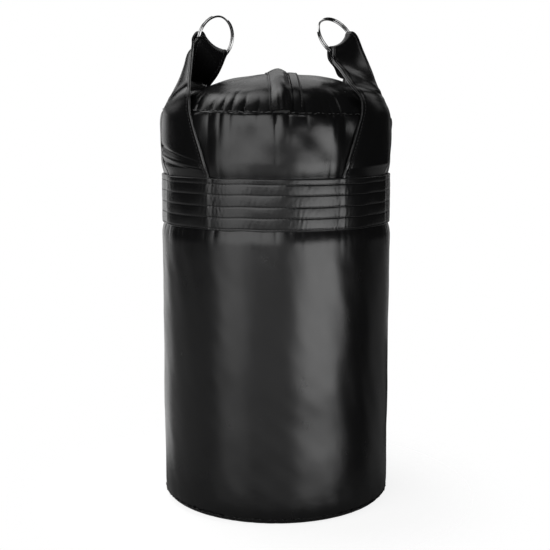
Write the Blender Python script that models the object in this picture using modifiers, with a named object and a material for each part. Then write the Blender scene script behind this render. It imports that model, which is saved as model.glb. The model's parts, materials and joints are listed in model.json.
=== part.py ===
"""Punching bag: a filled round bag with a stitched collar, two hanging straps, split rings and a zipped top.

Units are metres, +Z is up, the origin is the centre of the flat base, and -Y is the front.
"""
import math
from math import cos, radians, sin, sqrt

import bmesh
import bpy
from mathutils import Matrix, Vector

# Bag body
BODY_RADIUS = 0.1000
SEAM_HEIGHT = 0.3410
SEAM_INSET = 0.0030
SEAM_EASE = 0.0002
SHOULDER_ROUND = 0.0110
WALL_THICKNESS = 0.0012
BOTTOM_ROUND = 0.0068
BOTTOM_TURN_UP = 0.0110
BOTTOM_INSET = 0.0006
PANEL_THICKNESS = 0.0013
TURN_STEPS = 48
QUARTER_ANGLES = (0, 30, 60, 90)

# Crown of the top panel
CROWN_RISE = 0.0335
CROWN_SPHERE_RADIUS = 0.2150
CROWN_EDGE_RUN = 0.0240
CROWN_DRAW_IN = 0.0104

# Stitched collar round the body
COLLAR_DROP = 0.0942
COLLAR_HEIGHT = 0.0418
COLLAR_EDGE = 0.0005
COLLAR_THICKNESS = 0.0026
COLLAR_PROUD = 0.0005
COLLAR_ROWS = 5
ROW_TOP_INSET = 0.0044
ROW_LOW_INSET = 0.0012
WAIST_RUN = 0.0030
STRAP_RUN = 0.0120
THREAD_THICKNESS = 0.0007
SHOULDER_THREAD_OUT = 0.0010
SHOULDER_THREAD_UP = 0.0005
BOTTOM_THREAD_RISE = 0.0040
TUCK_DEPTH = 0.0240
TUCK_THICKNESS = 0.0013
TUCK_EXIT = 0.0012
POCKET_MARGIN = 0.6
POCKET_STEPS = 6
CUT_OVER = 0.0020

# Straps
STRAP_THICKNESS = 0.0022
STRAP_INNER_ANGLE = 33.5
STRAP_OUTER_ANGLE = 67.5
STRAP_COLUMNS = 6
STEPS_PER_STATION = 2
HINGE_RISE = 0.0040
KNUCKLE_RADIUS = 0.0170
KNUCKLE_STEPS = 16

# Split rings
RING_MEAN_RADIUS = 0.0192
RING_WIRE_RADIUS = 0.00085
RING_PITCH = 0.00215
RING_TURNS = 2
RING_END_CUT = 0.07
RING_STEPS = 24
RING_END_ANGLE = 110.0

# Zip and its cover on the crown
CLOSURE_YAW = 2.5
ZIP_X = 0.0010
SLOT_HALF_WIDTH = 0.0060
TAPE_WIDTH = 0.0120
TAPE_THICKNESS = 0.0006
TAPE_REACH = 0.975
TAPE_SETBACK = 0.0002
TOOTH_PITCH = 0.0050
TOOTH_COUNT = 28
TOOTH_WIDTH = 0.0024
TOOTH_NOTCH = 0.0008
TOOTH_HEIGHT = 0.0014
TOOTH_RUN_PART = 0.6
TOOTH_FLANK_PART = 0.1
CHAIN_GAP = 0.0016
STOP_LENGTH = 0.0030
SLIDER_LENGTH = 0.0120
SLIDER_WIDTH = 0.0090
SLIDER_PLATE = 0.0008
SLIDER_NECK = 0.0009
SLIDER_PARK_ANGLE = 17.0
LUG_WIDTH = 0.0012
LUG_HEIGHT = 0.0011
PULL_LENGTH = 0.0120
PULL_WIDTH = 0.0040
PULL_THICKNESS = 0.0007
FLAP_LEFT_X = -0.0075
SLIT_X = 0.0086
SLIT_WIDTH = 0.0016
FLAP_RIDGE = 0.0048
FLAP_EDGE = 0.0024
FLAP_THICKNESS = 0.0012
FLAP_SEAM = 0.0022
FLAP_SLOPE = 0.0036
FLAP_CREST_SHIFT = 0.0018
FLAP_CREST_FALL = 0.0002
FLAP_FOLD_SHIFT = 0.0003
FLAP_BACK_CUT = 0.0480
FACING_WIDTH = 0.0076
FACING_THICKNESS = 0.0013
STITCH_INSET = 0.0012
COVER_REACH = 0.985
COVER_STEPS = 22

# Inside
SLEEVE_THICKNESS = 0.0040
SLEEVE_DROP = 0.0050
CORE_TOP_DROP = 0.0050
CORE_CHAMFER = 0.0040

# Clearances
GAP = 0.0003
RUN_GAP = 0.0003
COVER_LIFT = 0.0006
MERGE_DISTANCE = 0.00001
SHARP_ANGLE = 35.0

COLOURS = {
    "leather": ((0.012, 0.012, 0.013), 0.34, 0.0),
    "strap_leather": ((0.010, 0.010, 0.011), 0.30, 0.0),
    "thread": ((0.016, 0.016, 0.017), 0.55, 0.0),
    "steel": ((0.62, 0.62, 0.63), 0.18, 1.0),
    "zip_plastic": ((0.014, 0.014, 0.015), 0.40, 0.0),
    "zip_metal": ((0.10, 0.10, 0.105), 0.32, 1.0),
    "tape": ((0.012, 0.012, 0.012), 0.85, 0.0),
    "felt": ((0.40, 0.40, 0.38), 0.95, 0.0),
    "rag": ((0.45, 0.43, 0.40), 0.95, 0.0),
}

SEAM_RADIUS = BODY_RADIUS - SEAM_INSET
WALL_TOP_RADIUS = SEAM_RADIUS + SEAM_EASE
FOOT_RADIUS = BODY_RADIUS - BOTTOM_INSET
BOTTOM_FLAT_RADIUS = BODY_RADIUS - BOTTOM_TURN_UP
DOME_TOP = SEAM_HEIGHT + CROWN_RISE
CROWN_BREAK_RADIUS = SEAM_RADIUS - CROWN_EDGE_RUN
COLLAR_LOW = SEAM_HEIGHT - COLLAR_DROP
SLEEVE_TOP = SEAM_HEIGHT - SLEEVE_DROP
HINGE_OFFSET = 0.84 * BODY_RADIUS
HINGE_HEIGHT = SEAM_HEIGHT + HINGE_RISE
WAIST_RADIUS = BODY_RADIUS + COLLAR_PROUD - COLLAR_THICKNESS - GAP
COLLAR_TOP = COLLAR_LOW + COLLAR_HEIGHT
CLOSURE_TURN = Matrix.Rotation(radians(CLOSURE_YAW), 4, "Z")
CROWN_CENTRE = Vector((0, 0, DOME_TOP - CROWN_SPHERE_RADIUS))


def new_collection(name):
    """Make a collection and link it to the scene."""
    collection = bpy.data.collections.new(name)
    bpy.context.scene.collection.children.link(collection)
    return collection


def finish(name):
    """Return the named material, made on first use."""
    material = bpy.data.materials.get(name)
    if material:
        return material
    colour, roughness, metallic = COLOURS[name]
    material = bpy.data.materials.new(name)
    material.use_nodes = True
    shader = material.node_tree.nodes["Principled BSDF"]
    shader.inputs["Base Color"].default_value = (*colour, 1)
    shader.inputs["Roughness"].default_value = roughness
    shader.inputs["Metallic"].default_value = metallic
    return material


def add_object(name, bm, material, collection=None, smooth=True):
    """Turn a bmesh into an object of the part."""
    mesh = bpy.data.meshes.new(name)
    bm.to_mesh(mesh)
    bm.free()
    if smooth:
        mesh.shade_smooth()
        mesh.set_sharp_from_angle(angle=radians(SHARP_ANGLE))
    obj = bpy.data.objects.new(name, mesh)
    (collection or PART).objects.link(obj)
    if material:
        mesh.materials.append(finish(material))
    return obj


def cutter(name, bm):
    """Make a hidden wire object that only cuts."""
    obj = add_object(name, bm, None, CUTTERS, smooth=False)
    obj.hide_render = True
    obj.display_type = "WIRE"
    return obj


def boolean(obj, tool, operation):
    """Add a live boolean with another object."""
    modifier = obj.modifiers.new(operation.lower(), "BOOLEAN")
    modifier.operation = operation
    modifier.object = tool


def turned(name, profile, material):
    """Turn a closed profile of (radius, height), outer side first and downwards, round the Z axis."""
    bm = bmesh.new()
    verts = [bm.verts.new((radius, 0, height)) for radius, height in profile]
    for first, second in zip(verts, verts[1:]):
        bm.edges.new((first, second))
    if profile[0][0] > 0 or profile[-1][0] > 0:
        bm.edges.new((verts[-1], verts[0]))
    obj = add_object(name, bm, material)
    screw = obj.modifiers.new("turn", "SCREW")
    screw.axis = "Z"
    screw.angle = 2 * math.pi
    screw.steps = screw.render_steps = TURN_STEPS
    screw.use_merge_vertices = True
    screw.merge_threshold = MERGE_DISTANCE
    screw.use_smooth_shade = True
    return obj


def lofted_mesh(sections):
    """Join a row of closed sections, each a list of points, into a capped solid."""
    bm = bmesh.new()
    rings = [[bm.verts.new(point) for point in section] for section in sections]
    for lower, upper in zip(rings, rings[1:]):
        for index in range(len(lower)):
            after = (index + 1) % len(lower)
            bm.faces.new((lower[index], lower[after], upper[after], upper[index]))
    bm.faces.new(list(reversed(rings[0])))
    bm.faces.new(rings[-1])
    bmesh.ops.triangulate(bm, faces=[face for face in bm.faces if len(face.verts) > 3])
    bmesh.ops.recalc_face_normals(bm, faces=bm.faces)
    return bm


def lofted(name, sections, material, smooth=True):
    """Make an object from a row of closed sections."""
    return add_object(name, lofted_mesh(sections), material, smooth=smooth)


def box_mesh(centre, size):
    """Make a box bmesh from its centre and size."""
    bm = bmesh.new()
    bmesh.ops.create_cube(bm, size=1)
    bmesh.ops.scale(bm, vec=size, verts=bm.verts)
    bmesh.ops.translate(bm, vec=centre, verts=bm.verts)
    return bm


def arc_points(centre, radius, start, stop, count):
    """Points of an arc in the (radius, height) plane, by angle in degrees."""
    step = (stop - start) / count
    angles = [radians(start + index * step) for index in range(count + 1)]
    return [(centre[0] + radius * cos(angle), centre[1] + radius * sin(angle)) for angle in angles]


def on_cylinder(angle, radius, height):
    """Point at an angle from the front, towards +X, in degrees."""
    turn = radians(angle)
    return Vector((radius * sin(turn), -radius * cos(turn), height))


def dome_height(radius):
    """Height of the crown's outer face at a distance from the axis."""
    sag = CROWN_SPHERE_RADIUS - sqrt(CROWN_SPHERE_RADIUS ** 2 - radius ** 2)
    past = max(0.0, radius - CROWN_BREAK_RADIUS) / (SEAM_RADIUS - CROWN_BREAK_RADIUS)
    return DOME_TOP - sag - CROWN_DRAW_IN * past ** 3


def dome_normal(radius):
    """Outward normal of the crown's outer face, as (radial, upward)."""
    step = 0.0001
    slope = (dome_height(radius) - dome_height(radius + step)) / step
    length = sqrt(slope ** 2 + 1)
    return slope / length, 1 / length


def dome_profile_point(radius, offset):
    """Point of the crown's profile, moved out along its normal."""
    across, up = dome_normal(radius)
    return radius + across * offset, dome_height(radius) + up * offset


def crown_point(x, y, offset):
    """Point of the crown above (x, y), moved out along its normal."""
    radius = sqrt(x * x + y * y)
    across, up = dome_normal(radius)
    scale = across / radius if radius else 0.0
    return Vector((x + x * scale * offset, y + y * scale * offset, dome_height(radius) + up * offset))


def crown_radii():
    """Distances from the axis at which the crown's profile has a point."""
    flat_count = 5
    edge_count = 4
    flat = [CROWN_BREAK_RADIUS * index / flat_count for index in range(1, flat_count + 1)]
    run = SEAM_RADIUS - CROWN_BREAK_RADIUS
    return flat + [CROWN_BREAK_RADIUS + run * index / edge_count for index in range(1, edge_count + 1)]


def wall_profile():
    """Outer face of the side wall, from the shoulder seam down to the bottom seam."""
    top = SEAM_HEIGHT - GAP
    shoulder = [
        (WALL_TOP_RADIUS + (BODY_RADIUS - WALL_TOP_RADIUS) * sin(radians(turn)),
         top - SHOULDER_ROUND * (1 - cos(radians(turn))))
        for turn in QUARTER_ANGLES
    ]
    waist = [
        (BODY_RADIUS, COLLAR_TOP + GAP + STRAP_RUN),
        (WAIST_RADIUS, COLLAR_TOP + GAP),
        (WAIST_RADIUS, COLLAR_LOW - GAP),
        (BODY_RADIUS, COLLAR_LOW - GAP - WAIST_RUN),
    ]
    foot = [(BODY_RADIUS, 2 * BOTTOM_ROUND), (FOOT_RADIUS, BOTTOM_ROUND + GAP)]
    return shoulder + waist + foot


def make_side_wall():
    """Cylinder of leather, drawn in under the collar."""
    outer = wall_profile()
    inner = [(radius - WALL_THICKNESS, height) for radius, height in reversed(outer)]
    return turned("side_wall", outer + inner, "leather")


def make_bottom_panel():
    """Flat base whose edge turns up to the bottom seam."""
    reach = FOOT_RADIUS - BOTTOM_FLAT_RADIUS
    outer = [
        (BOTTOM_FLAT_RADIUS + reach * cos(radians(turn)), BOTTOM_ROUND * (1 - sin(radians(turn))))
        for turn in QUARTER_ANGLES
    ]
    inner = [
        (BOTTOM_FLAT_RADIUS + (reach - WALL_THICKNESS) * cos(radians(turn)),
         BOTTOM_ROUND - (BOTTOM_ROUND - WALL_THICKNESS) * sin(radians(turn)))
        for turn in reversed(QUARTER_ANGLES)
    ]
    return turned("bottom_panel", outer + [(0, 0)] + [(0, WALL_THICKNESS)] + inner, "leather")


def crown_half(name, side):
    """One half of the top panel, beside the zip's slot."""
    radii = crown_radii()
    outer = [dome_profile_point(radius, 0) for radius in reversed(radii)]
    inner = [dome_profile_point(radius, -PANEL_THICKNESS) for radius in radii]
    outer[0] = (SEAM_RADIUS, SEAM_HEIGHT)
    inner[-1] = (SEAM_RADIUS - PANEL_THICKNESS, SEAM_HEIGHT)
    profile = outer + [(0, DOME_TOP), (0, DOME_TOP - PANEL_THICKNESS)] + inner
    obj = turned(name, profile, "leather")
    width = 2 * BODY_RADIUS
    keep_edge = ZIP_X + side * SLOT_HALF_WIDTH
    centre = (keep_edge - side * width / 2, 0, SEAM_HEIGHT)
    tool = cutter(name + "_cut", box_mesh(centre, (width, 3 * width, width)))
    tool.matrix_world = CLOSURE_TURN
    boolean(obj, tool, "DIFFERENCE")
    return obj


def crown_strip(name, section, material, reach=COVER_REACH, back_cut=0.0):
    """Sweep a section of (x, offset) points over the crown from front to back."""
    limit = SEAM_RADIUS * reach
    rows = []
    for index in range(COVER_STEPS + 1):
        part = index / COVER_STEPS
        row = []
        for x, offset in section:
            front = -sqrt(limit ** 2 - x * x)
            row.append(crown_point(x, front + (-2 * front - back_cut) * part, offset))
        rows.append(row)
    obj = lofted(name, rows, material)
    obj.matrix_world = CLOSURE_TURN
    return obj


def rectangle(x_low, x_high, low, high):
    """Four section points, as (x, offset)."""
    return [(x_low, low), (x_high, low), (x_high, high), (x_low, high)]


def make_zip_tapes():
    """Woven tapes sewn under the two halves of the top."""
    top = -PANEL_THICKNESS - GAP
    inner = CHAIN_GAP / 2 + TAPE_SETBACK
    for name, side in (("zip_tape_left", -1), ("zip_tape_right", 1)):
        edges = sorted((ZIP_X + side * inner, ZIP_X + side * (inner + TAPE_WIDTH)))
        crown_strip(name, rectangle(*edges, top - TAPE_THICKNESS, top), "tape", reach=TAPE_REACH)


def make_zip_teeth():
    """Two rows of moulded teeth, one on each tape."""
    low = -PANEL_THICKNESS
    high = low + TOOTH_HEIGHT
    tooth_run = TOOTH_RUN_PART * TOOTH_PITCH
    flank = TOOTH_FLANK_PART * TOOTH_PITCH
    start = -TOOTH_COUNT * TOOTH_PITCH / 2
    for name, side, shift in (("zip_teeth_left", -1, 0.0), ("zip_teeth_right", 1, TOOTH_PITCH / 2)):
        outer = ZIP_X + side * (CHAIN_GAP / 2 + TOOTH_WIDTH)
        tip = ZIP_X + side * CHAIN_GAP / 2
        root = tip + side * TOOTH_NOTCH
        rows = []
        for index in range(TOOTH_COUNT):
            place = start + shift + index * TOOTH_PITCH
            stations = (
                (place, tip),
                (place + tooth_run, tip),
                (place + tooth_run + flank, root),
                (place + TOOTH_PITCH - flank, root),
            )
            for y, inner in stations:
                section = rectangle(*sorted((inner, outer)), low, high)
                rows.append([crown_point(x, y, offset) for x, offset in section])
        obj = lofted(name, rows, "zip_plastic", smooth=False)
        obj.matrix_world = CLOSURE_TURN


def crown_frame(angle):
    """Frame on the crown over the zip: X across, Y along the zip, Z outwards, by angle from the top."""
    turn = Matrix.Rotation(radians(-angle), 4, "X")
    out = sqrt(CROWN_SPHERE_RADIUS ** 2 - ZIP_X ** 2)
    return CLOSURE_TURN @ Matrix.Translation(CROWN_CENTRE) @ turn @ Matrix.Translation((ZIP_X, 0, out))


def make_zip_stops():
    """Blocks that end the zip at the front and at the back."""
    reach = TOOTH_COUNT * TOOTH_PITCH / 2 + TOOTH_PITCH / 2 + GAP + STOP_LENGTH / 2
    size = (2 * TOOTH_WIDTH + CHAIN_GAP, STOP_LENGTH, TOOTH_HEIGHT)
    centre = (0, 0, TOOTH_HEIGHT / 2 - PANEL_THICKNESS)
    for name, side in (("zip_stop_front", -1), ("zip_stop_back", 1)):
        angle = math.degrees(math.asin(side * reach / CROWN_SPHERE_RADIUS))
        obj = add_object(name, box_mesh(centre, size), "zip_plastic", smooth=False)
        obj.matrix_world = crown_frame(angle)


def join_boxes(name, boxes, material):
    """Union several boxes, each (centre, size), into one solid."""
    obj = add_object(name, box_mesh(*boxes[0]), material, smooth=False)
    for index, shape in enumerate(boxes[1:]):
        boolean(obj, cutter(f"{name}_add_{index}", box_mesh(*shape)), "UNION")
    return obj


def place_with_tools(obj, parent):
    """Hang an object and its union tools on a frame."""
    for item in [obj] + [modifier.object for modifier in obj.modifiers]:
        item.parent = parent


def make_zip_slider():
    """Slider with plates above and below the chain, and its pull tab on two lugs."""
    home = bpy.data.objects.new("slider_home", None)
    PART.objects.link(home)
    home.matrix_world = crown_frame(SLIDER_PARK_ANGLE)
    chain_top = TOOTH_HEIGHT - PANEL_THICKNESS
    upper = chain_top + RUN_GAP
    lower = -PANEL_THICKNESS - GAP - TAPE_THICKNESS - RUN_GAP
    middle = (upper + lower) / 2
    lug_x = PULL_WIDTH / 2 + RUN_GAP + LUG_WIDTH / 2
    lug_base = upper + SLIDER_PLATE
    boxes = [
        ((0, 0, upper + SLIDER_PLATE / 2), (SLIDER_WIDTH, SLIDER_LENGTH, SLIDER_PLATE)),
        ((0, 0, lower - SLIDER_PLATE / 2), (SLIDER_WIDTH, SLIDER_LENGTH, SLIDER_PLATE)),
        ((0, 0, middle), (SLIDER_NECK, SLIDER_LENGTH / 2, upper - lower + SLIDER_PLATE)),
    ]
    for side in (-1, 1):
        size = (LUG_WIDTH, SLIDER_LENGTH / 3, LUG_HEIGHT + SLIDER_PLATE)
        boxes.append(((side * lug_x, 0, lug_base + (LUG_HEIGHT - SLIDER_PLATE) / 2), size))
    slider = join_boxes("zip_slider", boxes, "zip_metal")
    place_with_tools(slider, home)
    pivot = bpy.data.objects.new("pull_pivot", None)
    PART.objects.link(pivot)
    pivot.parent = home
    pivot.location = (0, 0, lug_base + RUN_GAP + PULL_THICKNESS / 2)
    tab_centre = (0, (PULL_LENGTH - PULL_THICKNESS) / 2, 0)
    tab = box_mesh(tab_centre, (PULL_WIDTH, PULL_LENGTH, PULL_THICKNESS))
    pull = add_object("zip_pull", tab, "zip_metal")
    bevel = pull.modifiers.new("rounded", "BEVEL")
    bevel.width = PULL_THICKNESS / 4
    bevel.segments = 1
    pull.parent = pivot


def make_zip_cover():
    """Raised flap over the zip, and the flat facing strip beside its free edge."""
    low = COVER_LIFT
    crest_left = FLAP_LEFT_X + FLAP_SLOPE
    crest_right = (FLAP_LEFT_X + SLIT_X) / 2 + FLAP_CREST_SHIFT
    free_edge = SLIT_X - SLIT_WIDTH / 2
    foot = FLAP_LEFT_X + FLAP_SEAM
    crest = FLAP_RIDGE - FLAP_CREST_FALL
    outer = [
        (FLAP_LEFT_X, low + FLAP_THICKNESS),
        (foot, low + FLAP_THICKNESS),
        (crest_left, crest),
        (crest_right, FLAP_RIDGE),
        (free_edge, FLAP_EDGE + FLAP_THICKNESS),
    ]
    inner = [
        (free_edge, FLAP_EDGE),
        (crest_right, FLAP_RIDGE - FLAP_THICKNESS),
        (crest_left + FLAP_FOLD_SHIFT, crest - FLAP_THICKNESS),
        (foot + FLAP_FOLD_SHIFT, low),
        (FLAP_LEFT_X, low),
    ]
    crown_strip("zip_flap", outer + inner, "leather", back_cut=FLAP_BACK_CUT)
    left = SLIT_X + SLIT_WIDTH / 2
    section = rectangle(left, left + FACING_WIDTH, low, low + FACING_THICKNESS)
    crown_strip("zip_facing", section, "leather")
    half = THREAD_THICKNESS / 2
    flap_row = FLAP_LEFT_X + STITCH_INSET
    facing_row = left + FACING_WIDTH - STITCH_INSET
    rows = (
        ("zip_flap_thread", flap_row, COVER_LIFT + FLAP_THICKNESS + GAP, FLAP_BACK_CUT),
        ("zip_facing_thread", facing_row, COVER_LIFT + FACING_THICKNESS + GAP, 0.0),
    )
    for name, x, base, back_cut in rows:
        section = rectangle(x - half, x + half, base, base + THREAD_THICKNESS)
        crown_strip(name, section, "thread", back_cut=back_cut)


def thread_ring(name, radius, height):
    """Thread lying round the bag, four-sided."""
    half = THREAD_THICKNESS / 2
    profile = [(radius, height + half), (radius + half, height)]
    profile += [(radius, height - half), (radius - half, height)]
    return turned(name, profile, "thread")


def make_collar():
    """Thick stitched band with a pocket for each end of a strap, and its rows of thread."""
    outer = BODY_RADIUS + COLLAR_PROUD
    inner = outer - COLLAR_THICKNESS
    edge = outer - COLLAR_EDGE
    profile = [
        (edge, COLLAR_TOP), (outer, COLLAR_TOP - COLLAR_EDGE), (outer, COLLAR_LOW + COLLAR_EDGE),
        (edge, COLLAR_LOW), (inner, COLLAR_LOW), (inner, COLLAR_TOP),
    ]
    band = turned("collar_band", profile, "leather")
    pocket_low = COLLAR_TOP - TUCK_DEPTH - GAP
    pocket_outer = inner + TUCK_THICKNESS + GAP
    cut_inner = inner - CUT_OVER
    cut_top = COLLAR_TOP + CUT_OVER
    for name, side, back in STRAP_ENDS:
        first = STRAP_INNER_ANGLE - POCKET_MARGIN
        span = STRAP_OUTER_ANGLE - STRAP_INNER_ANGLE + 2 * POCKET_MARGIN
        sections = []
        for index in range(POCKET_STEPS + 1):
            angle = side * (first + span * index / POCKET_STEPS)
            angle = 180 - angle if back else angle
            ring = [
                (cut_inner, pocket_low), (pocket_outer, pocket_low),
                (pocket_outer, cut_top), (cut_inner, cut_top),
            ]
            sections.append([on_cylinder(angle, radius, height) for radius, height in ring])
        boolean(band, cutter(name + "_pocket", lofted_mesh(sections)), "DIFFERENCE")
    row_step = (COLLAR_HEIGHT - ROW_TOP_INSET - ROW_LOW_INSET) / (COLLAR_ROWS - 1)
    radius = outer + GAP + THREAD_THICKNESS / 2
    for row in range(COLLAR_ROWS):
        thread_ring(f"collar_thread_{row + 1}", radius, COLLAR_TOP - ROW_TOP_INSET - row * row_step)


def make_seam_threads():
    """Threads of the shoulder seam and the bottom seam."""
    thread_ring("shoulder_thread", SEAM_RADIUS + SHOULDER_THREAD_OUT, SEAM_HEIGHT + SHOULDER_THREAD_UP)
    bottom_radius = BODY_RADIUS + GAP + THREAD_THICKNESS / 2
    thread_ring("bottom_thread", bottom_radius, BOTTOM_ROUND + BOTTOM_THREAD_RISE)


def make_filling():
    """Felt sleeve inside the wall and the packed core inside that."""
    outer = WAIST_RADIUS - WALL_THICKNESS - GAP
    inner = outer - SLEEVE_THICKNESS
    low = WALL_THICKNESS + GAP
    foot = low + BOTTOM_ROUND
    sleeve_low = foot + GAP
    profile = [(outer, SLEEVE_TOP), (outer, sleeve_low), (inner, sleeve_low), (inner, SLEEVE_TOP)]
    turned("padding_sleeve", profile, "felt")
    core = inner - GAP
    crown = [(radius, dome_height(radius) - CORE_TOP_DROP) for radius in reversed(crown_radii()[:5])]
    sides = [(core, SLEEVE_TOP), (core, foot), (core - CORE_CHAMFER, low)]
    turned("filling_core", [(0, DOME_TOP - CORE_TOP_DROP)] + crown[::-1] + sides + [(0, low)], "rag")


def above_seam(point):
    """Point given in percent of the body's radius, with its height counted from the shoulder seam."""
    return Vector(point) * BODY_RADIUS / 100 + Vector((0, 0, SEAM_HEIGHT))


def ring_frame(centre, turn, tilt, lean):
    """Frame of a ring: X along its fold, Y up the ring, Z out of its face."""
    level = Vector((cos(radians(turn)), sin(radians(turn)), 0))
    fold = level * cos(radians(tilt)) + Vector((0, 0, sin(radians(tilt))))
    up = Vector((sin(radians(lean)), 0, cos(radians(lean))))
    up = (up - fold * up.dot(fold)).normalized()
    face = fold.cross(up)
    frame = Matrix((fold, up, face)).transposed().to_4x4()
    frame.translation = centre
    return frame


RING_PLACES = {
    "ring_left": ring_frame(above_seam((-52.4, 0.0, 63.4)), 50.4, -25.8, 17.6),
    "ring_right": ring_frame(above_seam((52.2, 0.0, 64.1)), 56.8, 24.4, -41.3),
}


def wall_station(height, inner, outer, side, back, radius):
    """Strap station lying on the wall: two edge points and the bulge between them."""
    angles = [side * inner, side * outer]
    if back:
        angles = [180 - angle for angle in angles]
    first, second = (on_cylinder(angle, radius, height) for angle in angles)
    middle = (first + second) / 2
    flat = Vector((middle.x, middle.y, 0))
    return first, second, flat.normalized() * (radius - flat.length), STRAP_THICKNESS


def leg_stations(side, back):
    """Stations of one leg of a strap, from its tuck in the collar up to the shoulder."""
    tuck_radius = WAIST_RADIUS + GAP + TUCK_THICKNESS / 2
    on_wall = BODY_RADIUS + GAP + STRAP_THICKNESS / 2
    tucked = []
    for height in (COLLAR_TOP - TUCK_DEPTH, COLLAR_TOP - TUCK_DEPTH / 2, COLLAR_TOP + TUCK_EXIT):
        station = wall_station(height, STRAP_INNER_ANGLE, STRAP_OUTER_ANGLE, side, back, tuck_radius)
        tucked.append(station[:3] + (TUCK_THICKNESS,))
    free = []
    for part, low, high in STRAP_SPREAD:
        height = COLLAR_TOP + (SEAM_HEIGHT - COLLAR_TOP) * part / 100
        free.append(wall_station(height, low, high, side, back, on_wall))
    return tucked + free


def free_station(first, second, bulge):
    """Strap station off the wall, from its two edges and the bulge between them."""
    return above_seam(first), above_seam(second), Vector(bulge) * BODY_RADIUS / 100, STRAP_THICKNESS


# Leg of a strap on the wall: percent of the way from the collar to the seam, inner angle, outer angle
STRAP_SPREAD = ((16.2, 34.2, 69.5), (42.9, 37.0, 75.0), (74.4, 41.0, 77.0), (102.1, 44.5, 74.0))
# Front leg of each strap above the shoulder: near edge, far edge, bulge, in percent of the body's radius
RIGHT_RISE = [
    ((69.0, -68.5, 12.0), (91.3, -20.0, 12.0), (3.0, -2.2, 1.0)),
    ((61.5, -59.0, 22.5), (86.6, -12.0, 23.0), (2.0, -1.8, 1.2)),
    ((54.0, -38.5, 35.0), (82.2, -4.0, 36.0), (1.4, -1.6, 0.6)),
    ((46.8, -24.0, 45.5), (75.5, 2.0, 53.5), (1.2, -1.4, 0.0)),
]
LEFT_RISE = [
    ((-70.3, -68.0, 12.0), (-90.9, -19.0, 12.0), (-3.0, -2.2, 1.0)),
    ((-70.9, -59.0, 22.5), (-84.6, -11.0, 24.5), (-2.2, -1.2, 1.0)),
    ((-70.9, -43.0, 36.0), (-79.6, -2.0, 38.0), (-2.2, -0.8, 0.6)),
    ((-70.8, -28.0, 49.0), (-77.6, 8.0, 50.5), (-2.2, -1.0, 0.0)),
]
# Back leg of each strap down to the shoulder, in the same way
RIGHT_FALL = [
    ((54.5, -2.0, 34.0), (60.5, 34.0, 36.0), (-1.0, 0.4, 0.6)),
    ((77.0, 8.0, 29.0), (62.0, 55.0, 29.5), (1.0, 1.0, 1.4)),
    ((91.5, 15.5, 13.5), (66.5, 68.0, 14.5), (2.6, 1.8, 1.2)),
]
LEFT_FALL = [
    ((-72.9, -10.5, 46.2), (-51.2, 3.2, 32.5), (0.8, -0.8, 0.0)),
    ((-75.5, -1.0, 36.0), (-57.0, 34.0, 30.0), (1.0, -1.4, 0.4)),
    ((-81.5, 8.0, 26.5), (-63.5, 56.0, 23.5), (-0.6, 1.2, 1.2)),
    ((-91.0, 15.5, 14.0), (-69.0, 68.5, 14.5), (-2.6, 1.8, 1.2)),
]
# Fold over each ring, from its front down to its back, in percent of the ring's radius
# Each row is the way towards the front, the way up, the half width, the sag and the shift along the fold
LEFT_FOLD = [
    (26.0, -47.9, 95.8, 6.8, -3.1),
    (17.7, -24.0, 90.6, 13.5, 0.0),
    (0.0, -14.1, 86.5, 17.7, 0.0),
    (-16.1, -24.0, 83.3, 15.6, 0.0),
    (-26.0, -54.2, 88.5, 6.8, -8.3),
]
RIGHT_FOLD = [
    (25.5, -52.1, 109.4, 6.8, -20.8),
    (17.7, -24.0, 89.6, 15.6, 0.0),
    (0.0, -14.1, 88.5, 17.7, 0.0),
    (-17.7, -24.0, 90.6, 15.6, 0.0),
    (-25.0, -45.8, 102.1, 6.8, -10.4),
    (-27.1, -91.1, 101.0, 2.6, -11.5),
]
STRAP_ENDS = (
    ("strap_left_front", -1, False), ("strap_left_back", -1, True),
    ("strap_right_front", 1, False), ("strap_right_back", 1, True),
)


def fold_station(frame, face, up, half, sag, shift):
    """Strap station in a ring's frame, from values in percent of the ring's radius."""
    unit = RING_MEAN_RADIUS / 100
    first, second = (frame @ (Vector((shift + edge * half, up, face)) * unit) for edge in (-1, 1))
    return first, second, frame.to_3x3() @ Vector((0, -sag * unit, 0)), STRAP_THICKNESS


def strap_stations(side):
    """All stations of one strap, from the front tuck over the ring to the back tuck."""
    rise, fold, fall, frame = LEFT_RISE, LEFT_FOLD, LEFT_FALL, RING_PLACES["ring_left"]
    if side > 0:
        rise, fold, fall, frame = RIGHT_RISE, RIGHT_FOLD, RIGHT_FALL, RING_PLACES["ring_right"]
    over = [fold_station(frame, side * row[0], *row[1:]) for row in fold]
    free = [free_station(*row) for row in rise] + over + [free_station(*row) for row in fall]
    back_leg = reversed(leg_stations(side, True))
    tail = [(second, first, bulge, thick) for first, second, bulge, thick in back_leg]
    return leg_stations(side, False) + free + tail


def between(values, position):
    """Smooth curve through a list of vectors or numbers, at a position counted in stations."""
    index = min(int(position), len(values) - 2)
    part = position - index
    before = values[max(index - 1, 0)]
    first, second = values[index], values[index + 1]
    after = values[min(index + 2, len(values) - 1)]
    slope_in = (second - before) * 0.5
    slope_out = (after - first) * 0.5
    square, cube = part * part, part ** 3
    return (
        first * (2 * cube - 3 * square + 1) + slope_in * (cube - 2 * square + part)
        + second * (3 * square - 2 * cube) + slope_out * (cube - square)
    )


def strap_point(stations, position, across):
    """Point of a strap's middle face; across runs from -1 to 1."""
    first, second, bulge = (between([row[item] for row in stations], position) for item in range(3))
    return (first + second) / 2 + (second - first) / 2 * across + bulge * (1 - across * across)


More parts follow.
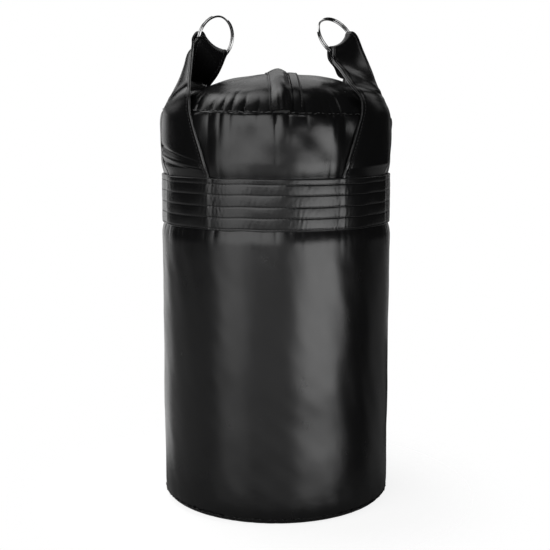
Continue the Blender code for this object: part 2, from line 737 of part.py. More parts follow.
def strap_sections(stations):
    """Closed sections of a strap, its outer row and its inner row joined."""
    last = len(stations) - 1
    step = 1 / STEPS_PER_STATION
    small = 0.01
    sections = []
    for index in range(last * STEPS_PER_STATION + 1):
        position = index * step
        half = between([row[3] for row in stations], position) / 2
        low, high = max(position - small, 0), min(position + small, last)
        outer, inner = [], []
        for column in range(STRAP_COLUMNS + 1):
            across = 2 * column / STRAP_COLUMNS - 1
            along = strap_point(stations, high, across) - strap_point(stations, low, across)
            side_a, side_b = max(across - small, -1), min(across + small, 1)
            width = strap_point(stations, position, side_b) - strap_point(stations, position, side_a)
            normal = width.cross(along).normalized() * half
            point = strap_point(stations, position, across)
            outer.append(point + normal)
            inner.append(point - normal)
        sections.append(outer + inner[::-1])
    return sections


def knuckle(name, side, radius):
    """Cutter that holds everything below a strap's hinge line and a round knuckle on it."""
    reach = BODY_RADIUS / 2
    centre = side * HINGE_OFFSET
    outline = [(centre - reach, COLLAR_LOW), (centre + reach, COLLAR_LOW), (centre + reach, HINGE_HEIGHT)]
    outline += arc_points((centre, HINGE_HEIGHT), radius, 0, 180, KNUCKLE_STEPS)
    outline += [(centre - reach, HINGE_HEIGHT)]
    depth = 1.5 * BODY_RADIUS
    sections = [[(x, y, z) for x, z in outline] for y in (-depth, depth)]
    return cutter(name, lofted_mesh(sections))


def make_strap(side, name):
    """Strap in three solids: a fixed leg at the front, one at the back, and the loop that leans."""
    sections = strap_sections(strap_stations(side))
    fixed_zone = knuckle(name + "_fixed_zone", side, KNUCKLE_RADIUS - RUN_GAP / 2)
    loop_zone = knuckle(name + "_loop_zone", side, KNUCKLE_RADIUS + RUN_GAP / 2)
    for end, sign in (("front", -1), ("back", 1)):
        leg = lofted(f"{name}_{end}_leg", sections, "strap_leather")
        boolean(leg, fixed_zone, "INTERSECT")
        size = 4 * BODY_RADIUS
        centre = (side * BODY_RADIUS, sign * size / 2, SEAM_HEIGHT)
        half = cutter(f"{name}_{end}_half", box_mesh(centre, (size, size, size)))
        boolean(leg, half, "INTERSECT")
    loop = lofted(f"{name}_loop", sections, "strap_leather")
    boolean(loop, loop_zone, "DIFFERENCE")
    hinge = bpy.data.objects.new(name + "_hinge", None)
    PART.objects.link(hinge)
    hinge.location = (side * HINGE_OFFSET, 0, HINGE_HEIGHT)
    bpy.context.view_layer.update()
    loop.parent = hinge
    loop.matrix_parent_inverse = hinge.matrix_world.inverted()
    return hinge


def ring_points():
    """Centre line of a split ring: two turns side by side, with one step across between them."""
    count = RING_TURNS * RING_STEPS
    points = []
    for index in range(count + 1):
        turn = RING_END_CUT + (RING_TURNS - 2 * RING_END_CUT) * index / count
        part = min(max((turn - 1 + RING_END_CUT) / (2 * RING_END_CUT), 0), 1)
        layer = part * part * (3 - 2 * part) - 0.5
        angle = 2 * math.pi * turn + radians(RING_END_ANGLE)
        flat = Vector((cos(angle), sin(angle), 0)) * RING_MEAN_RADIUS
        points.append(flat + Vector((0, 0, layer * RING_PITCH)))
    return points


def least_self_gap(points, wire_radius):
    """Smallest gap between stretches of a wire that lie over a quarter turn apart."""
    apart = RING_STEPS // 4
    count = len(points)
    distances = [
        (points[first] - points[second]).length
        for first in range(count) for second in range(first + apart, count)
    ]
    return min(distances) - 2 * wire_radius


def make_ring(name, hinge):
    """Split ring of round wire, turning about its own centre."""
    points = ring_points()
    least = least_self_gap(points, RING_WIRE_RADIUS) * 1000
    print(f"{name}: least gap of the wire to itself {least:.2f} mm")
    curve = bpy.data.curves.new(name + "_line", "CURVE")
    curve.dimensions = "3D"
    curve.bevel_depth = RING_WIRE_RADIUS
    curve.bevel_resolution = 1
    curve.use_fill_caps = True
    spline = curve.splines.new("POLY")
    spline.points.add(len(points) - 1)
    for slot, point in zip(spline.points, points):
        slot.co = (*point, 1)
    wire = bpy.data.objects.new(name + "_line", curve)
    PART.objects.link(wire)
    bpy.context.view_layer.update()
    mesh = bpy.data.meshes.new_from_object(wire.evaluated_get(bpy.context.evaluated_depsgraph_get()))
    bm = bmesh.new()
    bm.from_mesh(mesh)
    bmesh.ops.remove_doubles(bm, verts=bm.verts, dist=MERGE_DISTANCE)
    bpy.data.objects.remove(wire)
    ring = add_object(name, bm, "steel")
    pivot = bpy.data.objects.new(name + "_pivot", None)
    PART.objects.link(pivot)
    pivot.parent = hinge
    pivot.matrix_parent_inverse = hinge.matrix_world.inverted()
    pivot.matrix_basis = RING_PLACES[name]
    ring.parent = pivot


def build():
    """Make every piece of the bag."""
    make_side_wall()
    make_bottom_panel()
    crown_half("top_panel_left", -1)
    crown_half("top_panel_right", 1)
    make_zip_tapes()
    make_zip_teeth()
    make_zip_stops()
    make_zip_slider()
    make_zip_cover()
    make_collar()
    make_seam_threads()
    make_filling()
    for side, word in ((-1, "left"), (1, "right")):
        hinge = make_strap(side, f"strap_{word}")
        make_ring(f"ring_{word}", hinge)


for old in list(bpy.data.objects):
    bpy.data.objects.remove(old)
PART = new_collection("punching_bag")
CUTTERS = new_collection("cutters")
build()
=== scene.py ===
"""Dressed model of a small punching bag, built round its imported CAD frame.

Every soft piece is modelled again at full detail: the stuffed body with its gathered seams, the stitched
collar, the two straps, the covered zip and the split rings. Lengths are metres, +Z is up, -Y is the front.
"""
import json
import logging
import math
from dataclasses import dataclass
from enum import Enum
from typing import Callable, Sequence

import bpy
import numpy as np
from mathutils import Matrix, Vector

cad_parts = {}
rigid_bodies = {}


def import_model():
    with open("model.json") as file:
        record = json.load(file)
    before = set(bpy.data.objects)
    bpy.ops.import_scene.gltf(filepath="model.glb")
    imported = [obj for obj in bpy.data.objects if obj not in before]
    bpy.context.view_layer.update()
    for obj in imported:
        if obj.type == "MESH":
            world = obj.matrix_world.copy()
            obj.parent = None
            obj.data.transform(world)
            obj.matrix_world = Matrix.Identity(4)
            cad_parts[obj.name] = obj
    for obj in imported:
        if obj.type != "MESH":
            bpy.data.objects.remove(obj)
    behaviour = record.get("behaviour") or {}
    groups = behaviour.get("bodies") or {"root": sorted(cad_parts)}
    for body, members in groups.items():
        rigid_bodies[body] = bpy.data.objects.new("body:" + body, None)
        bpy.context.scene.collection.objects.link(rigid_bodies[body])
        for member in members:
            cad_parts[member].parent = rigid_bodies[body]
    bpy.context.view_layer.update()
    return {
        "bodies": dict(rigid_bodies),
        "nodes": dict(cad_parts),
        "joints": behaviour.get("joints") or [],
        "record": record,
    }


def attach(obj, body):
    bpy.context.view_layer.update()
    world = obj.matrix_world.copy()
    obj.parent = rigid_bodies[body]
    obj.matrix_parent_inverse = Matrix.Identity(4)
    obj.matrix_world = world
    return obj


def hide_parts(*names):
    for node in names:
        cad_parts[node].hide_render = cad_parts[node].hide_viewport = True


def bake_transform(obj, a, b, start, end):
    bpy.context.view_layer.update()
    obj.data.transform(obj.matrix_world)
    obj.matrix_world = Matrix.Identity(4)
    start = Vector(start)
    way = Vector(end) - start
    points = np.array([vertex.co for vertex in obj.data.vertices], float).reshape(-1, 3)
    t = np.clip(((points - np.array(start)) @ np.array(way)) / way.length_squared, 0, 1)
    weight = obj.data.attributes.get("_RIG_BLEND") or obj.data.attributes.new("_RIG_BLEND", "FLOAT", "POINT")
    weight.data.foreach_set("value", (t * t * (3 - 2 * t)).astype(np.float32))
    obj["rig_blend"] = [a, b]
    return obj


Array = np.ndarray
LOG = logging.getLogger("punching_bag")

SEAM_HEIGHT = 0.3410
SEAM_RADIUS = 0.0970
SEAM_DROP = 0.0024
DOME_TOP = 0.3745
CROWN_SPHERE_RADIUS = 0.2150
CROWN_BREAK_RADIUS = 0.0730
CROWN_DRAW_IN = 0.0104
COLLAR_LOW = 0.2468
COLLAR_TOP = 0.2886
CLOSURE_YAW = math.radians(2.5)
STRIP_REACH = 0.0962
ZIP_X = 0.0010
FULL_TURN = 2 * math.pi


class Side(Enum):
    """Side of the bag, as the sign of its X."""

    LEFT = -1
    RIGHT = 1

    @property
    def word(self) -> str:
        """The side's plain name."""
        return self.name.lower()


# Shaders


class Value:
    """A shader value that takes part in arithmetic."""

    def __init__(self, graph: "ShaderGraph", socket: bpy.types.NodeSocket) -> None:
        self.graph = graph
        self.socket = socket

    def _math(self, operation: str, first: object, second: object) -> "Value":
        """Value of one step of arithmetic."""
        node = self.graph.node("ShaderNodeMath", {"operation": operation}, {0: first, 1: second})
        return Value(self.graph, node.outputs[0])

    def __add__(self, other: object) -> "Value":
        return self._math("ADD", self, other)

    __radd__ = __add__

    def __sub__(self, other: object) -> "Value":
        return self._math("SUBTRACT", self, other)

    def __rsub__(self, other: object) -> "Value":
        return self._math("SUBTRACT", other, self)

    def __mul__(self, other: object) -> "Value":
        return self._math("MULTIPLY", self, other)

    __rmul__ = __mul__

    def __truediv__(self, other: object) -> "Value":
        return self._math("DIVIDE", self, other)

    def __pow__(self, other: object) -> "Value":
        return self._math("POWER", self, other)

    def smooth(self, low: float, high: float) -> "Value":
        """Map the value smoothly from low..high to 0..1."""
        settings = {"interpolation_type": "SMOOTHSTEP"}
        node = self.graph.node("ShaderNodeMapRange", settings, {"Value": self, "From Min": low, "From Max": high})
        return Value(self.graph, node.outputs[0])


class NodeGraph:
    """Node tree that grows by nodes that are fed as they are added."""

    def __init__(self, tree: bpy.types.NodeTree) -> None:
        self.tree = tree

    def node(self, kind: str, settings: dict | None = None, inputs: dict | None = None) -> bpy.types.Node:
        """Add a node.

        Args:
            kind: Type of the node.
            settings: Properties, set before the sockets.
            inputs: Socket name or index to a Value, a socket or a constant.

        Returns:
            The new node.
        """
        node = self.tree.nodes.new(kind)
        for key, setting in (settings or {}).items():
            setattr(node, key, setting)
        for key, item in (inputs or {}).items():
            self.feed(node.inputs[key], item)
        return node

    def feed(self, target: bpy.types.NodeSocket, item: object) -> None:
        """Link a value into a socket, or set the socket's constant."""
        if isinstance(item, Value):
            self.tree.links.new(item.socket, target)
        elif isinstance(item, bpy.types.NodeSocket):
            self.tree.links.new(item, target)
        else:
            target.default_value = item


class ShaderGraph(NodeGraph):
    """Node tree of one material, with a Principled shader ready to be fed."""

    def __init__(self, name: str) -> None:
        self.material = bpy.data.materials.new(name)
        self.material.use_nodes = True
        super().__init__(self.material.node_tree)
        self.shader = self.tree.nodes["Principled BSDF"]

    def position(self, stretch: Sequence[float] = (1, 1, 1)) -> bpy.types.NodeSocket:
        """Object coordinates, stretched along the axes."""
        coordinates = self.node("ShaderNodeTexCoord").outputs["Object"]
        mapping = self.node("ShaderNodeMapping", None, {"Vector": coordinates, "Scale": stretch})
        return mapping.outputs[0]

    def noise(self, scale: float, detail: float = 2.0, stretch: Sequence[float] = (1, 1, 1)) -> Value:
        """Noise from 0 to 1 over the piece."""
        inputs = {"Vector": self.position(stretch), "Scale": scale, "Detail": detail}
        return Value(self, self.node("ShaderNodeTexNoise", None, inputs).outputs[0])

    def cells(self, scale: float, feature: str = "F1") -> Value:
        """Distance within small cells, such as the pebbles of a grain."""
        inputs = {"Vector": self.position(), "Scale": scale}
        return Value(self, self.node("ShaderNodeTexVoronoi", {"feature": feature}, inputs).outputs["Distance"])

    def attribute(self, name: str) -> Value:
        """A float attribute of the mesh."""
        return Value(self, self.node("ShaderNodeAttribute", {"attribute_name": name}).outputs["Fac"])

    def blend(self, factor: Value, first: Sequence[float], second: Sequence[float]) -> bpy.types.NodeSocket:
        """Mix two colours."""
        node = self.node("ShaderNodeMix", {"data_type": "RGBA"}, {0: factor, 6: (*first, 1), 7: (*second, 1)})
        return node.outputs[2]

    def bump(self, height: Value, distance: float, strength: float = 1.0) -> None:
        """Feed a height into the shader's normal."""
        inputs = {"Height": height, "Distance": distance, "Strength": strength}
        self.feed(self.shader.inputs["Normal"], self.node("ShaderNodeBump", None, inputs).outputs[0])

    def surface(self, **inputs: object) -> bpy.types.Material:
        """Set the shader's sockets, with spaces as underscores, and return the material."""
        for key, item in inputs.items():
            self.feed(self.shader.inputs[key.replace("_", " ").title()], item)
        return self.material


def grey(level: float) -> tuple[float, float, float]:
    """A grey as red, green and blue."""
    return level, level, level


@dataclass(frozen=True)
class Leather:
    """Black artificial leather: coated, finely grained, worn paler on raw edges; on the seam lips the same pale edge
    colour also holds a painted highlight.
    """

    name: str
    tone: float = 0.0042
    roughness: float = 0.25
    roughness_spread: float = 0.10
    grain_scale: float = 1500.0
    grain_depth: float = 0.00005
    # Colour of the paler raw edges; on the seam lips it also serves as painted highlight
    edge_tone: float = 0.16

    def build(self) -> bpy.types.Material:
        """Make the material."""
        graph = ShaderGraph(self.name)
        pebbles = graph.cells(self.grain_scale)
        fine = graph.noise(self.grain_scale * 1.7, 3.0)
        cloudy = graph.noise(38.0, 3.0)
        scuffs = graph.noise(160.0, 4.0, (1, 1, 0.25))
        grain = pebbles * 0.7 + fine * 0.5 + graph.noise(260.0, 2.0) * 0.9
        graph.bump(grain, self.grain_depth)
        # Paler raw edges: real wear; on the seam lips this also holds a painted highlight, strongest on the left side
        edge = graph.attribute("edge")
        dark = (self.tone, self.tone, self.tone * 1.05)
        rough = cloudy * self.roughness_spread + scuffs * (self.roughness_spread * 0.6)
        rough = rough + (self.roughness - self.roughness_spread * 0.8) + edge * 0.25
        return graph.surface(base_color=graph.blend(edge, dark, grey(self.edge_tone)), roughness=rough)


@dataclass(frozen=True)
class Thread:
    """Twisted sewing thread."""

    name: str
    tone: float = 0.012
    twist_scale: float = 2600.0

    def build(self) -> bpy.types.Material:
        """Make the material."""
        graph = ShaderGraph(self.name)
        strands = graph.noise(self.twist_scale, 1.0, (1, 1, 2))
        graph.bump(strands, 0.00008)
        return graph.surface(base_color=(*grey(self.tone), 1), roughness=strands * 0.3 + 0.42)


@dataclass(frozen=True)
class Metal:
    """Plated metal with fine drawing marks and handling wear."""

    name: str
    tone: float = 0.50
    roughness: float = 0.10

    def build(self) -> bpy.types.Material:
        """Make the material."""
        graph = ShaderGraph(self.name)
        wear = graph.noise(420.0, 4.0)
        marks = graph.noise(2400.0, 2.0)
        graph.bump(marks, 0.000004)
        colour = graph.blend(wear, grey(self.tone * 0.86), grey(self.tone))
        rough = wear * 0.08 + (self.roughness - 0.03)
        return graph.surface(base_color=colour, roughness=rough, metallic=1.0)


@dataclass(frozen=True)
class Cloth:
    """Woven tape or felt."""

    name: str
    tone: float
    weave_scale: float = 2200.0

    def build(self) -> bpy.types.Material:
        """Make the material."""
        graph = ShaderGraph(self.name)
        stretches = ((1, 0.4, 1), (0.4, 1, 1))
        warp, weft = (graph.noise(self.weave_scale, 2.0, stretch) * 0.6 for stretch in stretches)
        weave = warp + weft
        graph.bump(weave, 0.0001)
        colour = graph.blend(weave, grey(self.tone * 0.7), grey(self.tone * 1.3))
        return graph.surface(base_color=colour, roughness=0.9)


@dataclass(frozen=True)
class Plastic:
    """Moulded black plastic."""

    name: str
    tone: float = 0.014

    def build(self) -> bpy.types.Material:
        """Make the material."""
        graph = ShaderGraph(self.name)
        mould = graph.noise(900.0, 3.0)
        graph.bump(mould, 0.00002)
        return graph.surface(base_color=(*grey(self.tone), 1), roughness=mould * 0.2 + 0.3)


class Finishes:
    """The finishes of the bag, made once each, by record slot."""

    def __init__(self) -> None:
        self.by_slot = {
            "leather": Leather("body_leather").build(),
            "strap_leather": Leather(
                "band_leather", tone=0.0038, roughness=0.24, grain_depth=0.00003, edge_tone=0.20
            ).build(),
            "thread": Thread("sewing_thread").build(),
            "steel": Metal("ring_steel").build(),
            "zip_metal": Metal("slider_metal", tone=0.09, roughness=0.3).build(),
            "zip_plastic": Plastic("teeth_plastic").build(),
            "tape": Cloth("zip_tape", 0.014).build(),
            "felt": Cloth("felt", 0.38, 700.0).build(),
            "rag": Cloth("packed_rag", 0.42, 500.0).build(),
        }

    def paint(self, obj: bpy.types.Object, slot: str) -> None:
        """Give an object the finish of a slot."""
        obj.data.materials.clear()
        obj.data.materials.append(self.by_slot[slot])

    def dress(self, obj: bpy.types.Object, slot: str) -> bpy.types.Object:
        """Give an object the finish of a slot."""
        self.paint(obj, slot)
        return obj


# Meshes


def link_object(name: str, data: bpy.types.ID) -> bpy.types.Object:
    """Make an object and put it in the scene."""
    obj = bpy.data.objects.new(name, data)
    bpy.context.scene.collection.objects.link(obj)
    return obj


def stand_for(obj: bpy.types.Object, node: str, body: str = "bag_body") -> bpy.types.Object:
    """Let a piece stand for a node of the frame and ride on a body."""
    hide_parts(node)
    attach(obj, body)
    return obj


class GridMesh:
    """Mesh made of a grid of points, with optional wrap and caps."""

    def __init__(self, name: str, points: Array, wrap: bool = False) -> None:
        self.name = name
        self.points = points
        self.wrap = wrap
        self.extra_faces: list[tuple[int, ...]] = []
        self.attributes: dict[str, Array] = {}

    def cap(self, row: int, flip: bool = False) -> "GridMesh":
        """Close a row of a wrapped grid with one face."""
        columns = self.points.shape[1]
        start = (row % self.points.shape[0]) * columns
        face = tuple(range(start, start + columns))
        self.extra_faces.append(face[::-1] if flip else face)
        return self

    def attribute(self, name: str, values: Array) -> "GridMesh":
        """Store a value at each point."""
        self.attributes[name] = values
        return self

    def build(self, angle: float = 50.0) -> bpy.types.Object:
        """Make the object, smooth shaded, faces over the given angle kept sharp."""
        rows, columns = self.points.shape[:2]
        index = np.arange(rows * columns).reshape(rows, columns)
        if self.wrap:
            index = np.hstack([index, index[:, :1]])
        quads = np.stack([index[:-1, :-1], index[1:, :-1], index[1:, 1:], index[:-1, 1:]], -1).reshape(-1, 4)
        mesh = bpy.data.meshes.new(self.name)
        mesh.from_pydata(self.points.reshape(-1, 3).tolist(), [], quads.tolist() + self.extra_faces)
        for name, values in self.attributes.items():
            layer = mesh.attributes.new(name, "FLOAT", "POINT")
            layer.data.foreach_set("value", np.asarray(values, np.float32).ravel())
        mesh.shade_smooth()
        mesh.set_sharp_from_angle(angle=math.radians(angle))
        return link_object(self.name, mesh)


class Ripple:
    """Sum of random waves over an angle and a length, the same on every run."""

    def __init__(self, seed: int, turns: tuple[int, int], lengths: tuple[float, float], count: int = 14) -> None:
        rng = np.random.default_rng(seed)
        self.turns = rng.integers(turns[0], turns[1] + 1, count)
        self.waves = FULL_TURN / rng.uniform(*lengths, count) * rng.choice([-1, 1], count)
        self.phases = rng.uniform(0, FULL_TURN, count)
        self.scale = 1 / math.sqrt(count / 2)

    def __call__(self, angle: Array, length: Array) -> Array:
        """Height, about -1 to 1, at angles in radians and lengths in metres."""
        total = np.zeros(np.broadcast(angle, length).shape)
        for turn, wave, phase in zip(self.turns, self.waves, self.phases):
            total += np.cos(turn * angle + wave * length + phase)
        return total * self.scale


class Gathers:
    """Puckers beside a seam: rounded lobes between sharp valleys that fade away from it."""

    STEP_SPREAD = (0.55, 1.45)
    DEPTH_SPREAD = (0.45, 1.25)
    REACH_SPREAD = (0.5, 1.5)
    FADE_POWER = 1.4
    LOBE_POWER = 0.45

    def __init__(self, seed: int, pitch: float, depth: float, reach: float) -> None:
        rng = np.random.default_rng(seed)
        count = int(round(FULL_TURN * SEAM_RADIUS / pitch))
        steps = rng.uniform(*self.STEP_SPREAD, count)
        self.valleys = np.concatenate([[0], np.cumsum(steps)]) / steps.sum() * FULL_TURN
        self.depths = depth * rng.uniform(*self.DEPTH_SPREAD, count + 1)
        self.reaches = reach * rng.uniform(*self.REACH_SPREAD, count + 1)
        self.depths[-1], self.reaches[-1] = self.depths[0], self.reaches[0]

    def __call__(self, angle: Array, away: Array) -> Array:
        """Depth below the lobes, 0 or less, at angles in radians and distances from the seam in metres."""
        turn = np.mod(angle, FULL_TURN)
        slot = np.clip(np.searchsorted(self.valleys, turn, side="right") - 1, 0, len(self.valleys) - 2)
        part = (turn - self.valleys[slot]) / (self.valleys[slot + 1] - self.valleys[slot])
        near = np.where(part < 0.5, slot, slot + 1)
        fade = np.exp(-((np.maximum(away, 0) / self.reaches[near]) ** self.FADE_POWER))
        lobe = np.sin(math.pi * np.clip(part, 0, 1)) ** self.LOBE_POWER
        return -self.depths[near] * (1 - lobe) * fade


def dome_height(radius: Array) -> Array:
    """Height of the crown's plain outer face at a distance from the axis."""
    sag = CROWN_SPHERE_RADIUS - np.sqrt(CROWN_SPHERE_RADIUS**2 - radius**2)
    past = np.clip((radius - CROWN_BREAK_RADIUS) / (SEAM_RADIUS - CROWN_BREAK_RADIUS), 0, None)
    return DOME_TOP - sag - CROWN_DRAW_IN * past**3


def crown_points(x: Array, y: Array, lift: Array) -> Array:
    """Points over (x, y) on the crown, lifted off it along its normal."""
    radius = np.sqrt(x * x + y * y) + 1e-9
    step = 1e-4
    slope = (dome_height(radius) - dome_height(radius + step)) / step
    length = np.sqrt(slope**2 + 1)
    out = lift * slope / length / radius
    return np.stack([x + x * out, y + y * out, dome_height(radius) + lift / length], -1)


def turn_closure(points: Array) -> Array:
    """Turn points of the closure to the way that it lies on the crown."""
    cos, sin = math.cos(CLOSURE_YAW), math.sin(CLOSURE_YAW)
    x, y = points[..., 0].copy(), points[..., 1].copy()
    points[..., 0], points[..., 1] = cos * x - sin * y, sin * x + cos * y
    return points


def smoothstep(low: float, high: float, value: Array) -> Array:
    """Smooth step from 0 at low to 1 at high."""
    part = np.clip((value - low) / (high - low), 0, 1)
    return part * part * (3 - 2 * part)


def bell(offset: Array, width: float) -> Array:
    """Bell curve of height 1 that falls off within about a width on both sides."""
    return np.exp(-((offset / width) ** 2))


def full_circle(count: int) -> Array:
    """Evenly spaced directions of one full turn, in radians."""
    return np.linspace(0, FULL_TURN, count, endpoint=False)


def seam_tilt(points: Array) -> Array:
    """Shift points near the shoulder seam so that the seam runs a little lower on the right."""
    height = points[..., 2]
    near = smoothstep(0.312, SEAM_HEIGHT, height) * (1 - smoothstep(0.346, 0.372, height))
    points[..., 2] = height - SEAM_DROP * points[..., 0] / SEAM_RADIUS * near
    return points


def front_angle(angle: Array) -> Array:
    """Angle from the front, folded to 0..180 degrees, of a turn in radians."""
    degrees = np.degrees(np.mod(angle, FULL_TURN))
    return np.minimum(degrees, 360 - degrees)


def on_cylinder(angle: Array, radius: Array, height: Array) -> Array:
    """Points at angles from the front towards +X, in radians."""
    angle, radius, height = np.broadcast_arrays(angle, radius, height)
    return np.stack([radius * np.sin(angle), -radius * np.cos(angle), height], -1)


def strap_cover(angle: Array, low: float = 33.5, high: float = 67.5, soft: float = 1.2) -> Array:
    """1 where an end of a strap lies over the wall or under the collar, front or back, else 0."""
    degrees = front_angle(angle)
    near = np.minimum(degrees, 180 - degrees)
    return smoothstep(low - soft, low + soft, near) * (1 - smoothstep(high - soft, high + soft, near))


class StitchRow:
    """Row of stitches along paths, laid by a node tree that sets one stitch at every step."""

    SIDES = 8
    RINGS = 6
    FLATNESS = 0.8

    def __init__(self, material: bpy.types.Material, pitch: float = 0.0030, length: float = 0.0023,
                 width: float = 0.00062) -> None:
        self.material = material
        self.measures = {"Pitch": pitch, "Stitch Length": length, "Stitch Width": width}

    def _tree(self) -> bpy.types.NodeTree:
        """Node tree that lays the stitches, with the measures as its inputs."""
        graph = NodeGraph(bpy.data.node_groups.new("stitches", "GeometryNodeTree"))
        sockets = graph.tree.interface
        sockets.new_socket("Geometry", in_out="INPUT", socket_type="NodeSocketGeometry")
        for name in self.measures:
            sockets.new_socket(name, in_out="INPUT", socket_type="NodeSocketFloat")
        sockets.new_socket("Geometry", in_out="OUTPUT", socket_type="NodeSocketGeometry")
        path, pitch, length, width = graph.node("NodeGroupInput").outputs[:4]
        strand = graph.node("GeometryNodeMeshToCurve", None, {0: path}).outputs[0]
        inputs = {"Curve": strand, "Length": pitch}
        spaced = graph.node("GeometryNodeResampleCurve", {"mode": "LENGTH"}, inputs).outputs[0]
        inputs = {"Segments": self.SIDES, "Rings": self.RINGS, "Radius": 0.5}
        ball = graph.node("GeometryNodeMeshUVSphere", None, inputs).outputs[0]
        depth = graph.node("ShaderNodeMath", {"operation": "MULTIPLY"}, {0: width, 1: self.FLATNESS}).outputs[0]
        size = graph.node("ShaderNodeCombineXYZ", None, {0: length, 1: width, 2: depth}).outputs[0]
        tangent = graph.node("GeometryNodeInputTangent").outputs[0]
        face = graph.node("GeometryNodeInputNamedAttribute", {"data_type": "FLOAT_VECTOR"}, {"Name": "face"})
        axes = {"primary_axis": "Z", "secondary_axis": "X"}
        aim = graph.node("FunctionNodeAxesToRotation", axes, {0: face.outputs["Attribute"], 1: tangent}).outputs[0]
        inputs = {"Points": spaced, "Instance": ball, "Rotation": aim, "Scale": size}
        placed = graph.node("GeometryNodeInstanceOnPoints", None, inputs).outputs[0]
        real = graph.node("GeometryNodeRealizeInstances", None, {0: placed}).outputs[0]
        smooth = graph.node("GeometryNodeSetShadeSmooth", None, {0: real}).outputs[0]
        inputs = {"Geometry": smooth, "Material": self.material}
        painted = graph.node("GeometryNodeSetMaterial", None, inputs).outputs[0]
        graph.node("NodeGroupOutput", None, {"Geometry": painted})
        return graph.tree

    def lay(self, name: str, paths: list[Array], faces: list[Array],
            cyclic: bool = False) -> bpy.types.Object:
        """Lay stitches along paths.

        Args:
            name: Name of the piece.
            paths: Points of each path.
            faces: Direction out of the cloth at each point of each path.
            cyclic: Whether each path closes on itself.

        Returns:
            One plain mesh with every stitch.
        """
        edges, start = [], 0
        for path in paths:
            last = start + len(path) - 1
            edges += [(index, index + 1) for index in range(start, last)] + ([(last, start)] if cyclic else [])
            start = last + 1
        line = bpy.data.meshes.new(name + "_path")
        line.from_pydata(np.vstack(paths).tolist(), edges, [])
        layer = line.attributes.new("face", "FLOAT_VECTOR", "POINT")
        layer.data.foreach_set("vector", np.vstack(faces).astype(np.float32).ravel())
        path_obj = link_object(name + "_path", line)
        modifier = path_obj.modifiers.new("stitches", "NODES")
        modifier.node_group = self._tree()
        for item in modifier.node_group.interface.items_tree:
            if item.in_out == "INPUT" and item.name in self.measures:
                modifier[item.identifier] = self.measures[item.name]
        bpy.context.view_layer.update()
        mesh = bpy.data.meshes.new_from_object(path_obj.evaluated_get(bpy.context.evaluated_depsgraph_get()))
        path_obj.modifiers.clear()
        bpy.data.objects.remove(path_obj)
        obj = link_object(name, mesh)
        return obj


# The bag


@dataclass
class BodyWall:
    """Stuffed cylinder of leather, gathered into its seams and drawn in under the collar."""

    finishes: Finishes
    radius: float = 0.1006
    seam_radius: float = 0.0978
    waist: float = 0.0984
    foot_height: float = 0.0062
    foot_round: float = 0.0120
    foot_draw: float = 0.0008
    shoulder_round: float = 0.0120
    above_collar: float = 0.0140
    below_collar: float = 0.0120
    strap_press: float = 0.0009
    columns: int = 520

    def heights(self) -> Array:
        """Heights of the rows, closer together beside the seams and the collar."""
        return np.concatenate([
            np.linspace(self.foot_height, 0.030, 22), np.linspace(0.034, 0.225, 44), np.linspace(0.228, 0.250, 16),
            np.linspace(0.256, 0.282, 5), np.linspace(0.2870, 0.315, 24), np.linspace(0.3165, SEAM_HEIGHT, 36),
        ])

    def outline(self, height: Array) -> Array:
        """Plain radius at a height, before gathers."""
        foot = np.clip((height - self.foot_height) / self.foot_round, 0, 1)
        top = np.clip((SEAM_HEIGHT - height) / self.shoulder_round, 0, 1)
        radius = self.radius - self.foot_draw * (1 - foot) ** 2.4
        radius = radius - (self.radius - self.seam_radius) * (1 - np.sqrt(1 - (1 - top) ** 2))
        above = np.clip((height - COLLAR_TOP) / self.above_collar, 0, 1)
        below = np.clip((COLLAR_LOW - height) / self.below_collar, 0, 1)
        drawn = np.where(height > COLLAR_TOP, (1 - above) ** 2, np.where(height < COLLAR_LOW, (1 - below) ** 2, 1))
        return radius - (self.radius - self.waist) * drawn

    def build(self) -> bpy.types.Object:
        """Make the wall."""
        angle = full_circle(self.columns)[None, :]
        height = self.heights()[:, None]
        radius = self.outline(height) + np.zeros_like(angle)
        seams = (
            (SEAM_HEIGHT, Gathers(11, 0.0138, 0.0015, 0.0150)),
            (self.foot_height, Gathers(5, 0.0160, 0.0006, 0.0060)),
            (COLLAR_LOW, Gathers(23, 0.0090, 0.0005, 0.0085)),
            (COLLAR_TOP, Gathers(29, 0.0130, 0.0006, 0.0100)),
        )
        for seam, gathers in seams:
            radius = radius + gathers(angle, np.abs(height - seam))
        upper = smoothstep(0.300, 0.325, height) * (1 - smoothstep(0.338, SEAM_HEIGHT, height))
        waves = (
            (0.00022, Ripple(3, (1, 6), (0.05, 0.30))),
            (0.00006, Ripple(9, (8, 30), (0.02, 0.12))),
            (0.00055 * upper, Ripple(14, (6, 22), (0.03, 0.12))),
        )
        for depth, ripple in waves:
            radius = radius + depth * ripple(angle, height)
        radius = radius - self.strap_press * (strap_cover(angle, 31.0, 81.0, 3.0) * smoothstep(0.280, 0.288, height))
        grid = GridMesh("body_wall", seam_tilt(on_cylinder(angle, radius, height)), wrap=True).cap(0).cap(-1, flip=True)
        obj = stand_for(self.finishes.dress(grid.build(), "leather"), "side_wall")
        return obj


